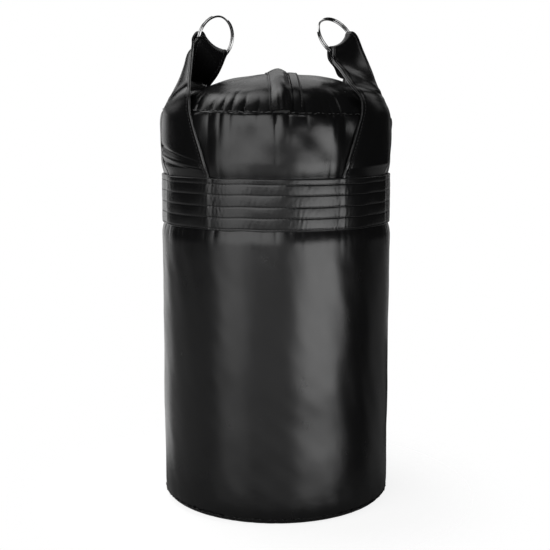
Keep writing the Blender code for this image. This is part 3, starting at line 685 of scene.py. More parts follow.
@dataclass
class BottomPanel:
    """Flat disc of leather that turns up into the bottom seam."""

    finishes: Finishes
    reach: float = 0.0996
    flat: float = 0.0890
    height: float = 0.0060
    thickness: float = 0.0030
    rim: float = 0.002
    middle: float = 0.004

    def build(self) -> bpy.types.Object:
        """Make the panel."""
        angle = full_circle(360)[None, :]
        turn = np.linspace(0, math.pi / 2, 14)[:, None]
        puckers = Gathers(41, 0.0120, 0.0008, 0.0060)(angle, (math.pi / 2 - turn) * 0.008)
        rim = self.flat + (self.reach - self.flat) * np.sin(turn)
        rows = on_cylinder(angle, rim + puckers, self.height * (1 - np.cos(turn)))
        flat = on_cylinder(angle, np.linspace(self.middle, self.flat - 0.004, 12)[:, None], np.zeros((12, 1)))
        inner_radii = np.array([[self.reach - self.rim], [self.middle]])
        inner = on_cylinder(angle, inner_radii, np.array([[self.height], [self.thickness]]))
        obj = GridMesh("base_panel", np.vstack([flat, rows, inner])[::-1], wrap=True).cap(0).cap(-1, flip=True).build()
        return stand_for(self.finishes.dress(obj, "leather"), "bottom_panel")


@dataclass
class SeamLip:
    """Narrow raw edge of leather that stands out along a seam, waved by the gathers. It is paler than the leather as
    real raw-edge wear, with a painted highlight on top that is strongest on the left side, where the light falls.
    """

    finishes: Finishes
    name: str
    node: str
    radius: float
    height: float
    lean: float
    seed: int
    width: float = 0.0009
    thickness: float = 0.0005
    wave: float = 0.00026
    # Paleness of the raw edge: partly real wear, partly painted highlight that the lip makes stronger on the left
    edge: float = 0.40

    # Section: place across the lip and through its thickness
    SECTION = ((-1, 0.5), (1, 0.38), (1.1, 0), (1, -0.38), (-1, -0.5))

    def build(self) -> bpy.types.Object:
        """Make the lip."""
        angle = full_circle(900)
        level = 0 * angle
        rise = self.wave * Ripple(self.seed, (30, 150), (1, 2), 24)(angle, level)
        reach = 0.5 * self.wave * Ripple(self.seed + 1, (25, 90), (1, 2))(angle, level)
        out, up = math.cos(self.lean), math.sin(self.lean)
        # The lip's paleness: real raw-edge wear that varies at random along it, times a painted highlight that is full
        # on the left side, where the light falls, and weak on the right
        wear_and_left_highlight = np.clip(0.45 + 0.55 * Ripple(self.seed + 2, (40, 220), (1, 2), 30)(angle, level), 0.05, 1)
        wear_and_left_highlight = self.edge * wear_and_left_highlight * (0.62 - 0.38 * np.sin(angle))
        rows, edges = [], []
        for along, side in self.SECTION:
            radius = self.radius + out * along * self.width / 2 - up * side * self.thickness + reach
            height = self.height + up * along * self.width / 2 + out * side * self.thickness + rise
            rows.append(on_cylinder(angle, radius, height))
            edges.append(wear_and_left_highlight if along > 0 else level)
        points = seam_tilt(np.stack(rows + rows[:1], 0))
        grid = GridMesh(self.name, points[::-1], wrap=True)
        grid.attribute("edge", np.stack(edges + edges[:1], 0)[::-1])
        return stand_for(self.finishes.dress(grid.build(60), "leather"), self.node)


@dataclass
class TopPanel:
    """Half of the crown: stuffed leather, gathered along the shoulder seam, cut straight beside the zip."""

    finishes: Finishes
    side: Side
    slot: float = 0.0060
    thickness: float = 0.0012
    along: int = 380
    across: int = 64

    # Of each half: how far it swells, how deep its puckers are, and where beside the zip the swell starts and ends
    SWELL = {Side.LEFT: -0.0017, Side.RIGHT: 0.0010}
    PUCKER = {Side.LEFT: 1, Side.RIGHT: 0.42}
    CLEAR = {Side.LEFT: (0.004, 0.024), Side.RIGHT: (0.010, 0.030)}

    def build(self) -> bpy.types.Object:
        """Make the half."""
        sign = self.side.value
        turn = np.linspace(-1, 1, self.along)[None, :]
        part = 1 - (1 - np.linspace(0, 1, self.across)[:, None]) ** 1.7
        edge = ZIP_X + sign * self.slot
        reach = SEAM_RADIUS - 1e-5
        limit = math.sqrt(reach**2 - edge**2)
        y = limit * np.sin(turn * math.pi / 2)
        rim = sign * np.sqrt(np.maximum(reach**2 - y**2, 0))
        x = edge + (rim - edge) * part
        y = y + 0 * x
        radius = np.minimum(np.sqrt(x * x + y * y), reach)
        angle = np.arctan2(x, -y)
        beside = np.abs(x - edge)
        depth = 0.0032 * self.PUCKER[self.side]
        puckers = Gathers(11, 0.0138, depth, 0.0105)(angle + CLOSURE_YAW, (reach - radius) * 1.15)
        clear = smoothstep(*self.CLEAR[self.side], beside)
        swell = smoothstep(0.97, 0.72, radius / reach) * clear
        soft = 0.0005 * Ripple(31 + sign, (2, 9), (0.03, 0.09))(angle, radius) * clear
        lift = puckers * smoothstep(0, 0.003, beside) + swell * self.SWELL[self.side] + soft
        points = seam_tilt(turn_closure(crown_points(x, y, lift)))
        obj = GridMesh(f"crown_{self.side.word}", points if sign > 0 else points[:, ::-1]).build()
        solid = obj.modifiers.new("thickness", "SOLIDIFY")
        solid.thickness = self.thickness
        solid.offset = -1
        stand_for(self.finishes.dress(obj, "leather"), f"top_panel_{self.side.word}")
        return obj


def strip_run(x: Array, part: Array, back_cut: float) -> Array:
    """Y along a strip on the crown, from its front end (0) to its back end (1)."""
    front = -np.sqrt(STRIP_REACH**2 - x**2)
    return front + (-2 * front - back_cut) * part


@dataclass
class CrownStrip:
    """Strip of leather swept over the crown, with a section given as (x, lift)."""

    finishes: Finishes
    name: str
    node: str
    section: Callable[[Array], tuple[Array, Array]]
    back_cut: float = 0.0
    steps: int = 170

    def build(self) -> bpy.types.Object:
        """Make the strip."""
        part = np.linspace(0, 1, self.steps)[:, None]
        x, lift = self.section(part)
        points = turn_closure(crown_points(x, strip_run(x, part, self.back_cut), lift))
        obj = GridMesh(self.name, points, wrap=True).cap(0).cap(-1, flip=True).build(40)
        return stand_for(self.finishes.dress(obj, "leather"), self.node)


@dataclass
class Closure:
    """Cover of the zip: a puffed flap sewn on the left, and a facing strip on the right of the slit."""

    finishes: Finishes
    left: float = -0.0095
    seam: float = -0.0075
    profile: tuple[tuple[float, float], ...] = (
        (-0.0095, 0.0), (-0.0078, 0.0), (-0.0070, 0.0002), (-0.0060, 0.0007), (-0.0048, 0.0013), (-0.0036, 0.0019),
        (-0.0022, 0.0024), (-0.0008, 0.0029), (0.0006, 0.0032), (0.0018, 0.0033), (0.0030, 0.0030), (0.0044, 0.0025),
        (0.0056, 0.0019), (0.0066, 0.0014), (0.0074, 0.0010), (0.0081, 0.0004),
    )
    slit: float = 0.0086
    slit_width: float = 0.0011
    facing: float = 0.0082
    hem: float = 0.0012
    base: float = 0.0002
    leather: float = 0.0010
    groove_depth: float = 0.0003
    groove_width: float = 0.0007
    back_cut: float = 0.0480

    @property
    def facing_seam(self) -> float:
        """X of the row of stitches along the facing."""
        return self.slit + self.slit_width / 2 + self.facing - self.hem

    def _groove(self, offset: Array) -> Array:
        """How deep a row of stitches pulls the leather in, at a distance from the row."""
        return self.groove_depth * bell(offset, self.groove_width)

    def _flap(self, part: Array) -> tuple[Array, Array]:
        """Section of the flap: its outer face from left to right, then its inner face back."""
        free = self.slit - self.slit_width / 2
        across = np.linspace(0, 1, 26)[None, :]
        x = self.left + (free - self.left) * across
        hump = np.interp(x, *zip(*self.profile))
        height = hump * (0.55 + 0.45 * smoothstep(0.0, 0.10, part)) * (1 - smoothstep(0.94, 1.0, part) * 0.4)
        waver = 1 + 0.03 * np.sin(part * 23 + 1) + 0.02 * np.sin(part * 51)
        gather = 0.0003 * (1 - smoothstep(0.01, 0.09, part)) * np.sin(x * 1500 + 14 * part)
        gather = gather * smoothstep(-0.006, -0.003, x)
        outer = self.base + self.leather * smoothstep(0.0, 0.05, across) + height * waver + gather
        outer = outer - self._groove(x - self.seam)
        inner = np.maximum(outer - self.leather, self.base)
        x = x + (0.0003 * np.sin(part * 17) + 0.0002 * np.sin(part * 43 + 2))
        return np.hstack([x, x[:, ::-1]]), np.hstack([outer, inner[:, ::-1]])

    def _facing(self, part: Array) -> tuple[Array, Array]:
        """Section of the facing: its outer face from left to right, then its inner face back."""
        across = np.linspace(0, 1, 16)[None, :]
        x = self.slit + self.slit_width / 2 + self.facing * across + 0.0003 * np.sin(part * 15 + 1)
        puff = 0.0002 * np.sin(math.pi * np.clip(across * 1.1, 0, 1)) ** 0.7
        round_off = self.leather * (smoothstep(-0.02, 0.06, across) * (1 - smoothstep(0.95, 1.03, across)))
        outer = self.base + round_off + puff - self._groove(x - self.facing_seam)
        inner = np.full_like(outer, self.base)
        return np.hstack([x, x[:, ::-1]]), np.hstack([outer, inner[:, ::-1]])

    def _row(self, x: float, lift: float, back_cut: float) -> tuple[Array, Array]:
        """Path of a row of stitches along the closure, and the directions out of the leather."""
        part = np.linspace(0.012, 0.985, 120)
        y = strip_run(x, part, back_cut)
        path, outer = (
            turn_closure(crown_points(np.full_like(part, x), y, np.full_like(part, height)))
            for height in (lift, lift + 0.001)
        )
        return path, (outer - path) / 0.001

    def build(self, stitches: StitchRow) -> list[bpy.types.Object]:
        """Make the flap, the facing and their stitches."""
        made = [
            CrownStrip(self.finishes, "cover_flap", "zip_flap", self._flap, self.back_cut).build(),
            CrownStrip(self.finishes, "cover_facing", "zip_facing", self._facing).build(),
        ]
        for name, node, x, lift, cut in (
            ("flap_stitches", "zip_flap_thread", self.seam, 0.0011, self.back_cut),
            ("facing_stitches", "zip_facing_thread", self.facing_seam, 0.0012, 0.0),
        ):
            path, face = self._row(x, lift, cut)
            made.append(stand_for(stitches.lay(name, [path], [face]), node))
        return made


@dataclass
class Collar:
    """Thick band sewn round the bag with five rows of stitches, raised where the straps are sewn in."""

    finishes: Finishes
    low: float = COLLAR_LOW
    top: float = COLLAR_TOP
    radius: float = 0.1003
    thickness: float = 0.0022
    drops: tuple[float, ...] = (0.0044, 0.0130, 0.0225, 0.0314, 0.0404)
    columns: int = 900
    lines: int = 84
    stitches_around: int = 209
    lip_step: float = 0.00025

    def row_heights(self) -> Array:
        """Heights of the rows of stitches."""
        return self.top - np.array(self.drops)

    def surface(self, angle: Array, height: Array) -> tuple[Array, Array]:
        """Outer radius and shifted height at an angle and a height."""
        rows = self.row_heights()
        nearest = np.min(np.abs(height[..., None] - rows), -1)
        puff = 0.00014 * np.sqrt(np.clip(nearest / ((rows[0] - rows[1]) / 2), 0, 1))
        groove = -0.00022 * bell(nearest, 0.0005)
        pull = -0.00010 * (1 + np.cos(angle * self.stitches_around)) / 2 * bell(nearest, 0.0011)
        fine = 0.00002 * Ripple(61, (60, 190), (0.006, 0.03), 20)(angle, height)
        broad = 0.00010 * Ripple(67, (3, 26), (0.02, 0.10), 16)(angle, height)
        raised = 0.0005 * strap_cover(angle, 32.6, 68.5, 1.6)
        edge = np.minimum(self.top - height, height - self.low)
        rounded = -0.0007 * (1 - np.sqrt(np.clip(1 - (1 - np.clip(edge / 0.0009, 0, 1)) ** 2, 0, 1)))
        radius = self.radius + puff + groove + pull + fine + broad + raised + rounded
        return radius, height + 0.00012 * Ripple(71, (2, 22), (1, 2))(angle, 0 * angle)

    def build(self, stitches: StitchRow) -> list[bpy.types.Object]:
        """Make the band and its rows of stitches."""
        angle = full_circle(self.columns)[None, :]
        height = np.linspace(self.top, self.low, self.lines)[:, None]
        ends = self.lip_step * np.arange(4)[:, None]
        height = np.vstack([self.top - ends, height[2:-2], (self.low + ends)[::-1]])
        radius, shifted = self.surface(angle, height + 0 * angle)
        outer = on_cylinder(angle, radius, shifted)
        inner = on_cylinder(angle, np.full_like(radius[[-1, 0]], self.radius - self.thickness), shifted[[-1, 0]])
        points = np.vstack([outer, inner, outer[:1]])
        edge = np.zeros(points.shape[:2])
        edge[[0, -4, -1]] = 0.35
        edge[[1, -5]] = 0.12
        grid = GridMesh("collar", points[::-1], wrap=True).attribute("edge", edge[::-1])
        made = [stand_for(self.finishes.dress(grid.build(55), "leather"), "collar_band")]
        angle = full_circle(720)
        for number, row in enumerate(self.row_heights(), 1):
            radius, shifted = self.surface(angle, np.full_like(angle, row))
            path = on_cylinder(angle, radius + 0.00005, shifted)
            obj = stitches.lay(f"collar_stitches_{number}", [path], [on_cylinder(angle, 1.0, 0.0)], cyclic=True)
            made.append(stand_for(obj, f"collar_thread_{number}"))
        return made


# Free stretch of each strap: near edge, far edge, bulge (mm), front leg upwards, then back leg downwards
RISE = {
    Side.RIGHT: [
        ((69.0, -68.5, 353.0), (91.3, -20.0, 353.0), (3.0, -2.2, 1.0)),
        ((61.5, -59.0, 363.5), (86.6, -12.0, 364.0), (2.0, -1.8, 1.2)),
        ((54.0, -38.5, 376.0), (82.2, -4.0, 377.0), (1.4, -1.6, 0.6)),
        ((47.6, -24.0, 385.7), (75.2, 2.0, 394.5), (1.2, -1.4, 0.0)),
    ],
    Side.LEFT: [
        ((-70.3, -68.0, 353.0), (-90.9, -19.0, 353.0), (-3.0, -2.2, 1.0)),
        ((-70.9, -59.0, 363.5), (-84.6, -11.0, 365.5), (-2.2, -1.2, 1.0)),
        ((-70.9, -43.0, 377.0), (-79.3, -2.0, 379.0), (-2.2, -0.8, 0.6)),
        ((-70.8, -28.0, 390.0), (-73.4, 5.0, 395.2), (-1.4, -1.0, 0.0)),
        ((-70.9, -19.0, 398.6), (-65.0, 12.5, 398.0), (-0.8, -0.4, 0.4)),
    ],
}
FALL = {
    Side.RIGHT: [
        ((56.2, -3.5, 371.4), (68.0, 30.0, 380.0), (-0.4, 0.2, 0.6)),
        ((77.0, 8.0, 370.0), (62.0, 55.0, 370.5), (1.0, 1.0, 1.4)),
        ((91.5, 15.5, 354.5), (66.5, 68.0, 355.5), (2.6, 1.8, 1.2)),
    ],
    Side.LEFT: [
        ((-72.9, -10.5, 387.2), (-51.2, 3.2, 373.5), (0.8, -0.8, 0.0)),
        ((-75.5, -4.0, 377.0), (-58.0, 15.0, 365.6), (0.4, -0.8, 0.2)),
        ((-81.5, 8.0, 367.5), (-63.5, 56.0, 364.5), (-0.6, 1.2, 1.2)),
        ((-91.0, 15.5, 355.0), (-69.0, 68.5, 355.5), (-2.6, 1.8, 1.2)),
    ],
}
# Fold over each ring, front to back: towards the front, up, half width, sag, shift along the fold (mm)
FOLD = {
    Side.RIGHT: [
        (4.9, -10.0, 22.6, 1.3, -4.2),
        (3.4, -4.6, 18.1, 3.0, 0.1),
        (0.0, -2.7, 17.0, 3.4, 0.0),
        (-3.4, -4.6, 17.4, 3.0, 0.0),
        (-4.8, -8.8, 19.2, 1.3, -1.4),
        (-5.2, -17.5, 19.4, 0.5, -2.2),
    ],
    Side.LEFT: [
        (5.0, -9.2, 18.4, 1.3, -0.6),
        (3.4, -4.6, 18.2, 2.6, -0.8),
        (0.0, -2.7, 16.6, 3.4, 0.0),
        (-3.1, -4.6, 16.0, 3.0, 0.0),
        (-5.0, -10.4, 19.0, 1.3, -3.6),
    ],
}
RING_PLACES = {
    Side.LEFT: ((-0.0524, 0.0, 0.4044), 50.4, -25.8, 17.6),
    Side.RIGHT: ((0.0522, 0.0, 0.4051), 56.8, 24.4, -41.3),
}


def ring_frame(side: Side) -> Matrix:
    """Frame of a ring: X along its fold, Y up the ring, Z out of its face."""
    centre, turn, tilt, lean = RING_PLACES[side]
    turn, tilt, lean = (math.radians(item) for item in (turn, tilt, lean))
    fold = Vector((math.cos(turn) * math.cos(tilt), math.sin(turn) * math.cos(tilt), math.sin(tilt)))
    up = Vector((math.sin(lean), 0, math.cos(lean)))
    up = (up - fold * up.dot(fold)).normalized()
    frame = Matrix((fold, up, fold.cross(up))).transposed().to_4x4()
    frame.translation = centre
    return frame


@dataclass
class Station:
    """Place on a strap: its two edges, the bulge between them and its thickness."""

    first: Vector
    second: Vector
    bulge: Vector
    thickness: float

    def flipped(self) -> "Station":
        """The same place with its edges swapped."""
        return Station(self.second, self.first, self.bulge, self.thickness)


@dataclass
class Strap:
    """Band of two layers, sewn together along both edges, folded through a ring and sewn under the collar."""

    finishes: Finishes
    side: Side
    creases: tuple[tuple[float, ...], ...]
    thickness: float = 0.0016
    leg_thickness: float = 0.0012
    parted: tuple[float, ...] = (0.0013, 0.0017, 0.0022, 0.0022, 0.0020)
    steps: int = 18
    columns: int = 40
    stitch_inset: float = 0.0034

    # Places of a leg from under the collar up: height over its top, inner and outer angle (degrees), radius
    LEG = (
        (-0.0240, 33.5, 67.5, 0.09905), (-0.0120, 33.5, 67.5, 0.09905), (0.0012, 33.5, 67.5, 0.09905),
        (0.0085, 34.2, 69.5, 0.1012), (0.0225, 37.0, 75.0, 0.1013), (0.0390, 41.0, 77.0, 0.1010),
        (0.0535, 44.5, 74.0, 0.0998),
    )
    # Layers of an edge, from face to face: level in half thicknesses, push outwards, wear
    LIP = ((0.96, 0.00006, 0.3), (0.84, 0.00020, 1.0), (0.66, 0.00006, 0.0))
    EDGE = (*LIP, (0.0, -0.0012, 0.0), *((-level, push, wear) for level, push, wear in reversed(LIP)))

    def _wall(self, height: float, inner: float, outer: float, radius: float, back: bool) -> Station:
        """Place on the wall between two angles, in degrees from the front or from the back."""
        turns = [math.radians(180 - self.side.value * a if back else self.side.value * a) for a in (inner, outer)]
        first, second = (Vector((radius * math.sin(turn), -radius * math.cos(turn), height)) for turn in turns)
        middle = (first + second) / 2
        flat = Vector((middle.x, middle.y, 0))
        return Station(first, second, flat.normalized() * (radius - flat.length), self.leg_thickness)

    def _leg(self, back: bool) -> list[Station]:
        """Places of the front or back leg, upwards."""
        return [self._wall(COLLAR_TOP + rise, *place, back) for rise, *place in self.LEG]

    def _loose(self, row: Sequence[Sequence[float]], thickness: float) -> Station:
        """Place in a free stretch, from a row of its table."""
        first, second, bulge = (Vector(point) / 1000 for point in row)
        return Station(first, second, bulge, thickness)

    def _fold(self, face: float, up: float, half: float, sag: float, shift: float) -> Station:
        """Place in the fold over the ring, from a row of its table."""
        frame = ring_frame(self.side)
        first, second = (frame @ (Vector((shift + edge * half, up, face)) / 1000) for edge in (-1, 1))
        return Station(first, second, frame.to_3x3() @ Vector((0, -sag / 1000, 0)), self.thickness)

    def stations(self) -> list[Station]:
        """All places from the front tuck over the ring to the back tuck."""
        over = [self._fold(self.side.value * row[0], *row[1:]) for row in FOLD[self.side]]
        rise = [self._loose(row, thick) for row, thick in zip(RISE[self.side], self.parted)]
        fall = [self._loose(row, self.thickness) for row in FALL[self.side]]
        tail = [station.flipped() for station in reversed(self._leg(True))]
        return self._leg(False) + rise + over + fall + tail

    @staticmethod
    def _between(values: Array, spans: Array, position: Array) -> Array:
        """Smooth curve through values that lie given spans apart, at positions counted in values."""
        index = np.clip(position.astype(int), 0, len(values) - 2)
        shape = (-1, *[1] * (values.ndim - 1))
        part, span = (position - index).reshape(shape), spans.reshape(shape)
        rate = np.diff(values, axis=0) / span
        inner = (rate[:-1] * span[1:] + rate[1:] * span[:-1]) / (span[1:] + span[:-1])
        slope = np.concatenate([rate[:1], inner, rate[-1:]])
        first, second = values[index], values[index + 1]
        slope_in, slope_out = slope[index] * span[index], slope[index + 1] * span[index]
        square, cube = part**2, part**3
        return (
            first * (2 * cube - 3 * square + 1) + slope_in * (cube - 2 * square + part)
            + second * (3 * square - 2 * cube) + slope_out * (cube - square)
        )

    def middle(self) -> tuple[Array, Array, Array]:
        """Middle face as a grid.

        Returns:
            Points, directions out of the face and half thickness per row.
        """
        stations = self.stations()
        stack = np.array([[tuple(s.first), tuple(s.second), tuple(s.bulge)] for s in stations])
        thick = np.array([s.thickness for s in stations])
        position = np.linspace(0, len(stations) - 1, (len(stations) - 1) * self.steps + 1)
        spans = np.linalg.norm(np.diff(stack[:, :2].mean(1), axis=0), axis=-1)
        place = self._between(stack, spans, position)
        half = self._between(thick, spans, position) / 2
        across = np.linspace(-1, 1, self.columns)[None, :, None]
        first, second, bulge = (place[:, item][:, None] for item in range(3))
        points = (first + second) / 2 + (second - first) / 2 * across + bulge * (1 - across**2)
        normal = np.cross(np.gradient(points, axis=1), np.gradient(points, axis=0))
        normal /= np.linalg.norm(normal, axis=-1, keepdims=True)
        lift = np.zeros(points.shape[:2])
        flat = across[..., 0]
        for centre, slope, spread, depth, bias, power in self.creases:
            off = np.abs(position[:, None] - centre - slope * flat) / spread
            inside = 1 - smoothstep(0.80, 1.0, np.abs(flat))
            lift += self.side.value * depth * np.exp(-(off**power)) * np.clip(0.5 + bias * flat, 0, 1) * inside
        return points + normal * lift[..., None], normal, half[:, None, None]

    def _section(self, points: Array, normal: Array, half: Array,
                 run: Array) -> tuple[list[Array], list[float]]:
        """Columns of the closed band and their wear: outer face, second edge, inner face, first edge."""
        width = np.gradient(points, axis=1)
        width /= np.linalg.norm(width, axis=-1, keepdims=True)
        from_edge = np.minimum(run, run[:, -1:] - run)
        groove = 0.00030 * bell(from_edge - self.stitch_inset, 0.0008)[..., None]
        plump = 0.00020 * bell(from_edge - 0.0012, 0.0012)[..., None]
        lift = normal * (half - groove + plump)
        outer, inner = points + lift, points - lift
        columns, wear = list(outer.swapaxes(0, 1)), [0.0] * self.columns
        for index, sign in ((-1, 1), (0, -1)):
            base, out, side = points[:, index], normal[:, index], width[:, index] * sign
            columns += [base + out * half[:, 0] * (sign * level) + side * push for level, push, _ in self.EDGE]
            wear += [worn for _, _, worn in self.EDGE]
            if sign > 0:
                columns += list(inner[:, ::-1].swapaxes(0, 1))
                wear += [0.0] * self.columns
        return columns, wear

    def _seams(self, points: Array, normal: Array, half: Array,
               run: Array) -> tuple[list[Array], list[Array]]:
        """Paths of the stitches along both edges on both faces, and the directions out of the faces."""
        keep = slice(2 * self.steps + 2, -2 * self.steps - 2)
        rows = np.arange(len(points))
        paths, faces = [], []
        for sign in (1, -1):
            for from_side in (run, run[:, -1:] - run):
                pick = np.argmin(np.abs(from_side - self.stitch_inset), axis=1)
                out = normal[rows, pick] * sign
                paths.append(self._even(points[rows, pick] + out * (half[:, 0] - 0.0002))[keep])
                faces.append(out[keep])
        return paths, faces

    def build(self, stitches: StitchRow) -> list[bpy.types.Object]:
        """Make the band and the stitches along its edges."""
        points, normal, half = self.middle()
        edge_to_edge = np.linalg.norm(points[:, 1:] - points[:, :-1], axis=-1)
        run = np.concatenate([np.zeros((len(points), 1)), np.cumsum(edge_to_edge, 1)], 1)
        columns, wear = self._section(points, normal, half, run)
        word = self.side.word
        grid = GridMesh(f"strap_{word}", np.stack(columns, 1)[:, ::-1], wrap=True).cap(0).cap(-1, flip=True)
        grid.attribute("edge", np.broadcast_to(np.array(wear[::-1])[None, :], (len(points), len(wear))) * 0.8)
        strap = self.finishes.dress(grid.build(70), "strap_leather")
        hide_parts(*(f"strap_{word}_{piece}" for piece in ("front_leg", "back_leg", "loop")))
        seams = stitches.lay(f"strap_{word}_stitches", *self._seams(points, normal, half, run))
        for obj in (strap, seams):
            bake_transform(obj, "bag_body", f"{word}_strap_loop", start=(self.side.value * 0.084, 0, 0.336),
                     end=(self.side.value * 0.080, 0, 0.368))
        return [strap, seams]

    @staticmethod
    def _even(path: Array) -> Array:
        """Smooth a path that was picked column by column."""
        smooth = path.copy()
        for _ in range(6):
            smooth[1:-1] = (smooth[:-2] + 2 * smooth[1:-1] + smooth[2:]) / 4
        return smooth


@dataclass
class SplitRing:
    """Ring of two turns of round wire that lie side by side, with a step across between them."""

    finishes: Finishes
    side: Side
    radius: float = 0.0192
    wire: float = 0.00086
    pitch: float = 0.00200
    turns: int = 2
    end_cut: float = 0.07
    end_angle: float = 110.0
    steps: int = 240
    sides: int = 14

    def build(self) -> bpy.types.Object:
        """Make the ring."""
        turn = np.linspace(self.end_cut, self.turns - self.end_cut, self.steps)
        part = np.clip((turn - 1 + self.end_cut) / (2 * self.end_cut), 0, 1)
        layer = (part * part * (3 - 2 * part) - 0.5) * self.pitch
        angle = FULL_TURN * turn + math.radians(self.end_angle)
        line = np.stack([self.radius * np.cos(angle), self.radius * np.sin(angle), layer], -1)
        along = np.gradient(line, axis=0)
        along /= np.linalg.norm(along, axis=-1, keepdims=True)
        out = line * np.array([1, 1, 0]) / self.radius
        side = np.cross(along, out)
        around = full_circle(self.sides)[None, :, None]
        points = line[:, None] + self.wire * (out[:, None] * np.cos(around) + side[:, None] * np.sin(around))
        frame = np.array(ring_frame(self.side))
        points = points @ frame[:3, :3].T + frame[:3, 3]
        obj = GridMesh(f"split_ring_{self.side.word}", points, wrap=True).cap(0).cap(-1, flip=True).build(60)
        return stand_for(self.finishes.dress(obj, "steel"), f"ring_{self.side.word}", f"{self.side.word}_ring")


# Studio


@dataclass(frozen=True)
class Softbox:
    """Flat rectangular lamp: where it is, what it faces, its size and its radiance."""

    name: str
    place: tuple[float, float, float]
    aim: tuple[float, float, float]
    size: tuple[float, float]
    level: float

    @classmethod
    def around(cls, name: str, turn: tuple[float, float], height: tuple[float, float], level: float) -> "Softbox":
        """Upright lamp that fills a stretch of the surroundings.

        Args:
            name: Name of the lamp.
            turn: First and last direction, in degrees from the front towards +X.
            height: Lowest and highest point.
            level: Radiance.

        Returns:
            The lamp, facing the bag's axis.
        """
        distance = 1.2
        middle, half = math.radians(sum(turn) / 2), math.radians((turn[1] - turn[0]) / 2)
        centre = (distance * math.sin(middle), -distance * math.cos(middle), sum(height) / 2)
        size = (2 * distance * math.tan(half), height[1] - height[0])
        return cls(name, centre, (0.0, 0.0, centre[2]), size, level)

    def build(self) -> None:
        """Make the lamp."""
        lamp = bpy.data.lights.new(self.name, "AREA")
        lamp.shape = "RECTANGLE"
        lamp.size, lamp.size_y = self.size
        lamp.energy = self.level * math.pi * self.size[0] * self.size[1]
        obj = link_object(self.name, lamp)
        obj.location = self.place
        obj.rotation_euler = (Vector(self.aim) - Vector(self.place)).to_track_quat("-Z", "Y").to_euler()
        obj.visible_camera = False


@dataclass(frozen=True)
class Camera:
    """Camera placed as the photograph's."""

    place: tuple[float, float, float] = (0.0, -0.977, 0.3432)
    pitch: float = 0.1484
    lens: float = 72.22
    shift: float = -0.0018

    def build(self) -> None:
        """Make the camera and use it."""
        data = bpy.data.cameras.new("camera")
        data.lens = self.lens
        data.shift_x = self.shift
        obj = link_object("camera", data)
        obj.location = self.place
        obj.rotation_euler = (math.pi / 2 - self.pitch, 0, 0)
        bpy.context.scene.camera = obj


class Studio:
    """White table and backdrop, soft lamps, camera."""

    LAMPS = (
        Softbox.around("key_right", (20, 62), (-0.28, 0.30), 3.6),
        Softbox.around("key_left", (-58, 6), (0.22, 1.20), 2.3),
        Softbox.around("low_left", (-56, -26), (-0.12, 0.20), 1.6),
        Softbox.around("foot_left", (-56, -26), (-0.45, -0.12), 0.8),
        Softbox.around("fill_front", (-24, 16), (-0.42, 0.10), 0.6),
        Softbox.around("side_left", (-132, -60), (-0.45, 0.08), 0.25),
        Softbox.around("rim_left", (-175, -132), (-0.45, 0.50), 0.9),
        Softbox.around("side_right", (104, 148), (-0.45, 0.08), 0.12),
        Softbox.around("rim_right", (148, 178), (-0.10, 0.60), 0.33),
        Softbox("crown_left", (-0.75, 0.55, 1.35), (0, 0, 0.36), (1.1, 1.1), 1.2),
        Softbox("crown_back", (-0.40, 1.11, 1.03), (0, 0, 0.36), (1.40, 0.72), 0.6),
        Softbox("top_left", (-0.48, 0.15, 1.50), (0, 0, 0.36), (0.70, 0.70), 1.7),
        Softbox("top_middle", (0.05, 0.10, 1.50), (0, 0, 0.36), (0.34, 0.50), 0.6),
        Softbox("wedge_right", (0.51, 1.09, 1.20), (0, 0, 0.37), (0.30, 0.45), 0.45),
        Softbox("bend_right", (1.00, 0.67, 0.96), (0, 0, 0.36), (0.30, 0.62), 0.65),
        Softbox("bend_left", (-0.97, 0.70, 0.75), (0, 0, 0.36), (0.58, 0.35), 0.5),
    )

    def build(self) -> None:
        """Set up the stage."""
        for lamp in self.LAMPS:
            lamp.build()
        Camera().build()
        self._floor()
        self._world()
        bpy.context.scene.view_settings.view_transform = "Standard"

    @staticmethod
    def _floor() -> None:
        """White table that fades out round the bag."""
        graph = ShaderGraph("table_white")
        coordinates = graph.node("ShaderNodeTexCoord").outputs["Object"]
        length = graph.node("ShaderNodeVectorMath", {"operation": "LENGTH"}, {0: coordinates}).outputs["Value"]
        fade = Value(graph, length).smooth(0.12, 0.24)
        matt = graph.node("ShaderNodeBsdfDiffuse", None, {"Color": (0.30, 0.30, 0.30, 1)}).outputs[0]
        glow = graph.node("ShaderNodeEmission", None, {"Color": (1, 1, 1, 1), "Strength": 0.86}).outputs[0]
        clear = graph.node("ShaderNodeBsdfTransparent").outputs[0]
        seen = graph.node("ShaderNodeLightPath").outputs["Is Camera Ray"]
        lit = graph.node("ShaderNodeAddShader", None, {0: matt, 1: glow}).outputs[0]
        table = graph.node("ShaderNodeMixShader", None, {0: seen, 1: matt, 2: lit}).outputs[0]
        mixed = graph.node("ShaderNodeMixShader", None, {0: fade, 1: table, 2: clear}).outputs[0]
        graph.feed(graph.tree.nodes["Material Output"].inputs["Surface"], mixed)
        side = 0.65
        mesh = bpy.data.meshes.new("table")
        mesh.from_pydata([(-side, -side, 0), (side, -side, 0), (side, side, 0), (-side, side, 0)], [], [(0, 1, 2, 3)])
        mesh.materials.append(graph.material)
        obj = link_object("table", mesh)
        obj.location.z = -0.0002

    @staticmethod
    def _world() -> None:
        """Backdrop that is white to the camera and dark to the rest."""
        world = bpy.data.worlds.new("studio")
        bpy.context.scene.world = world
        world.use_nodes = True
        graph = NodeGraph(world.node_tree)
        seen = graph.node("ShaderNodeLightPath").outputs["Is Camera Ray"]
        colours = {0: seen, 6: (0.012, 0.012, 0.012, 1), 7: (1, 1, 1, 1)}
        mix = graph.node("ShaderNodeMix", {"data_type": "RGBA"}, colours)
        graph.feed(world.node_tree.nodes["Background"].inputs["Color"], mix.outputs[2])


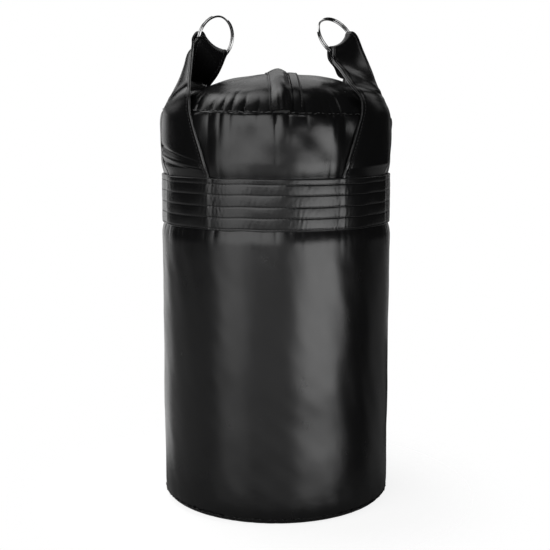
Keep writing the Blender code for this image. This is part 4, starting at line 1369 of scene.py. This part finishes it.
class PunchingBag:
    """The whole bag, built piece by piece."""

    # Creases of each strap: place in stations, slope across, spread, height out of the strap, bias, sharpness
    CREASES = {
        Side.LEFT: (
            (7.20, -0.80, 0.09, -0.0032, 0.1, 1.0), (7.50, -0.78, 0.26, 0.0014, 0.1, 2.0),
            (6.78, -0.60, 0.30, 0.0013, 0.1, 2.0), (3.30, 0.42, 0.15, 0.0020, 0.35, 2.0),
            (3.70, 0.50, 0.10, -0.0018, 0.45, 1.0), (3.02, 0.25, 0.07, -0.0010, 0.45, 1.0),
        ),
        Side.RIGHT: (
            (7.55, -0.45, 0.09, -0.0032, 0.1, 1.0), (8.15, -0.85, 0.36, 0.0020, 0.1, 2.0),
            (7.10, -0.30, 0.32, 0.0016, 0.1, 2.0), (3.05, 0.12, 0.14, 0.0010, 0.3, 2.0),
        ),
    }
    CAD_SLOTS = {
        "padding_sleeve": "felt", "filling_core": "rag", "zip_tape_left": "tape", "zip_tape_right": "tape",
        "zip_teeth_left": "zip_plastic", "zip_teeth_right": "zip_plastic", "zip_stop_front": "zip_plastic",
        "zip_stop_back": "zip_plastic", "zip_slider": "zip_metal", "zip_pull": "zip_metal",
    }
    # Raw edges along the seams: name, node, radius, height, lean (radians), seed, width, wear (paleness of the raw
    # edge, which the lip paints brighter on the left as a highlight)
    LIPS = (
        ("shoulder_lip", "shoulder_thread", 0.0982, SEAM_HEIGHT + 0.0004, 0.5, 81, 0.0009, 0.6),
        ("bottom_lip", "bottom_thread", 0.1000, 0.0060, -0.2, 87, 0.0010, 0.2),
    )
    def __init__(self, frame: dict) -> None:
        self.frame = frame
        self.finishes = Finishes()
        self.stitches = StitchRow(self.finishes.by_slot["thread"])

    def build(self) -> None:
        """Build and dress every piece."""
        for node, slot in self.CAD_SLOTS.items():
            self.finishes.paint(self.frame["nodes"][node], slot)
        BodyWall(self.finishes).build()
        BottomPanel(self.finishes).build()
        for name, node, radius, height, lean, seed, width, edge in self.LIPS:
            SeamLip(self.finishes, name, node, radius, height, lean, seed, width, edge=edge).build()
        for side in Side:
            TopPanel(self.finishes, side).build()
            Strap(self.finishes, side, self.CREASES[side]).build(self.stitches)
            SplitRing(self.finishes, side).build()
            LOG.info("%s side built", side.word)
        Closure(self.finishes).build(self.stitches)
        Collar(self.finishes).build(self.stitches)


def main() -> None:
    """Load the frame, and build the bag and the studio."""
    logging.basicConfig(level=logging.INFO, format="%(name)s: %(message)s")
    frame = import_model()
    PunchingBag(frame).build()
    Studio().build()
    LOG.info("sizes written")


if __name__ == "__main__":
    main()
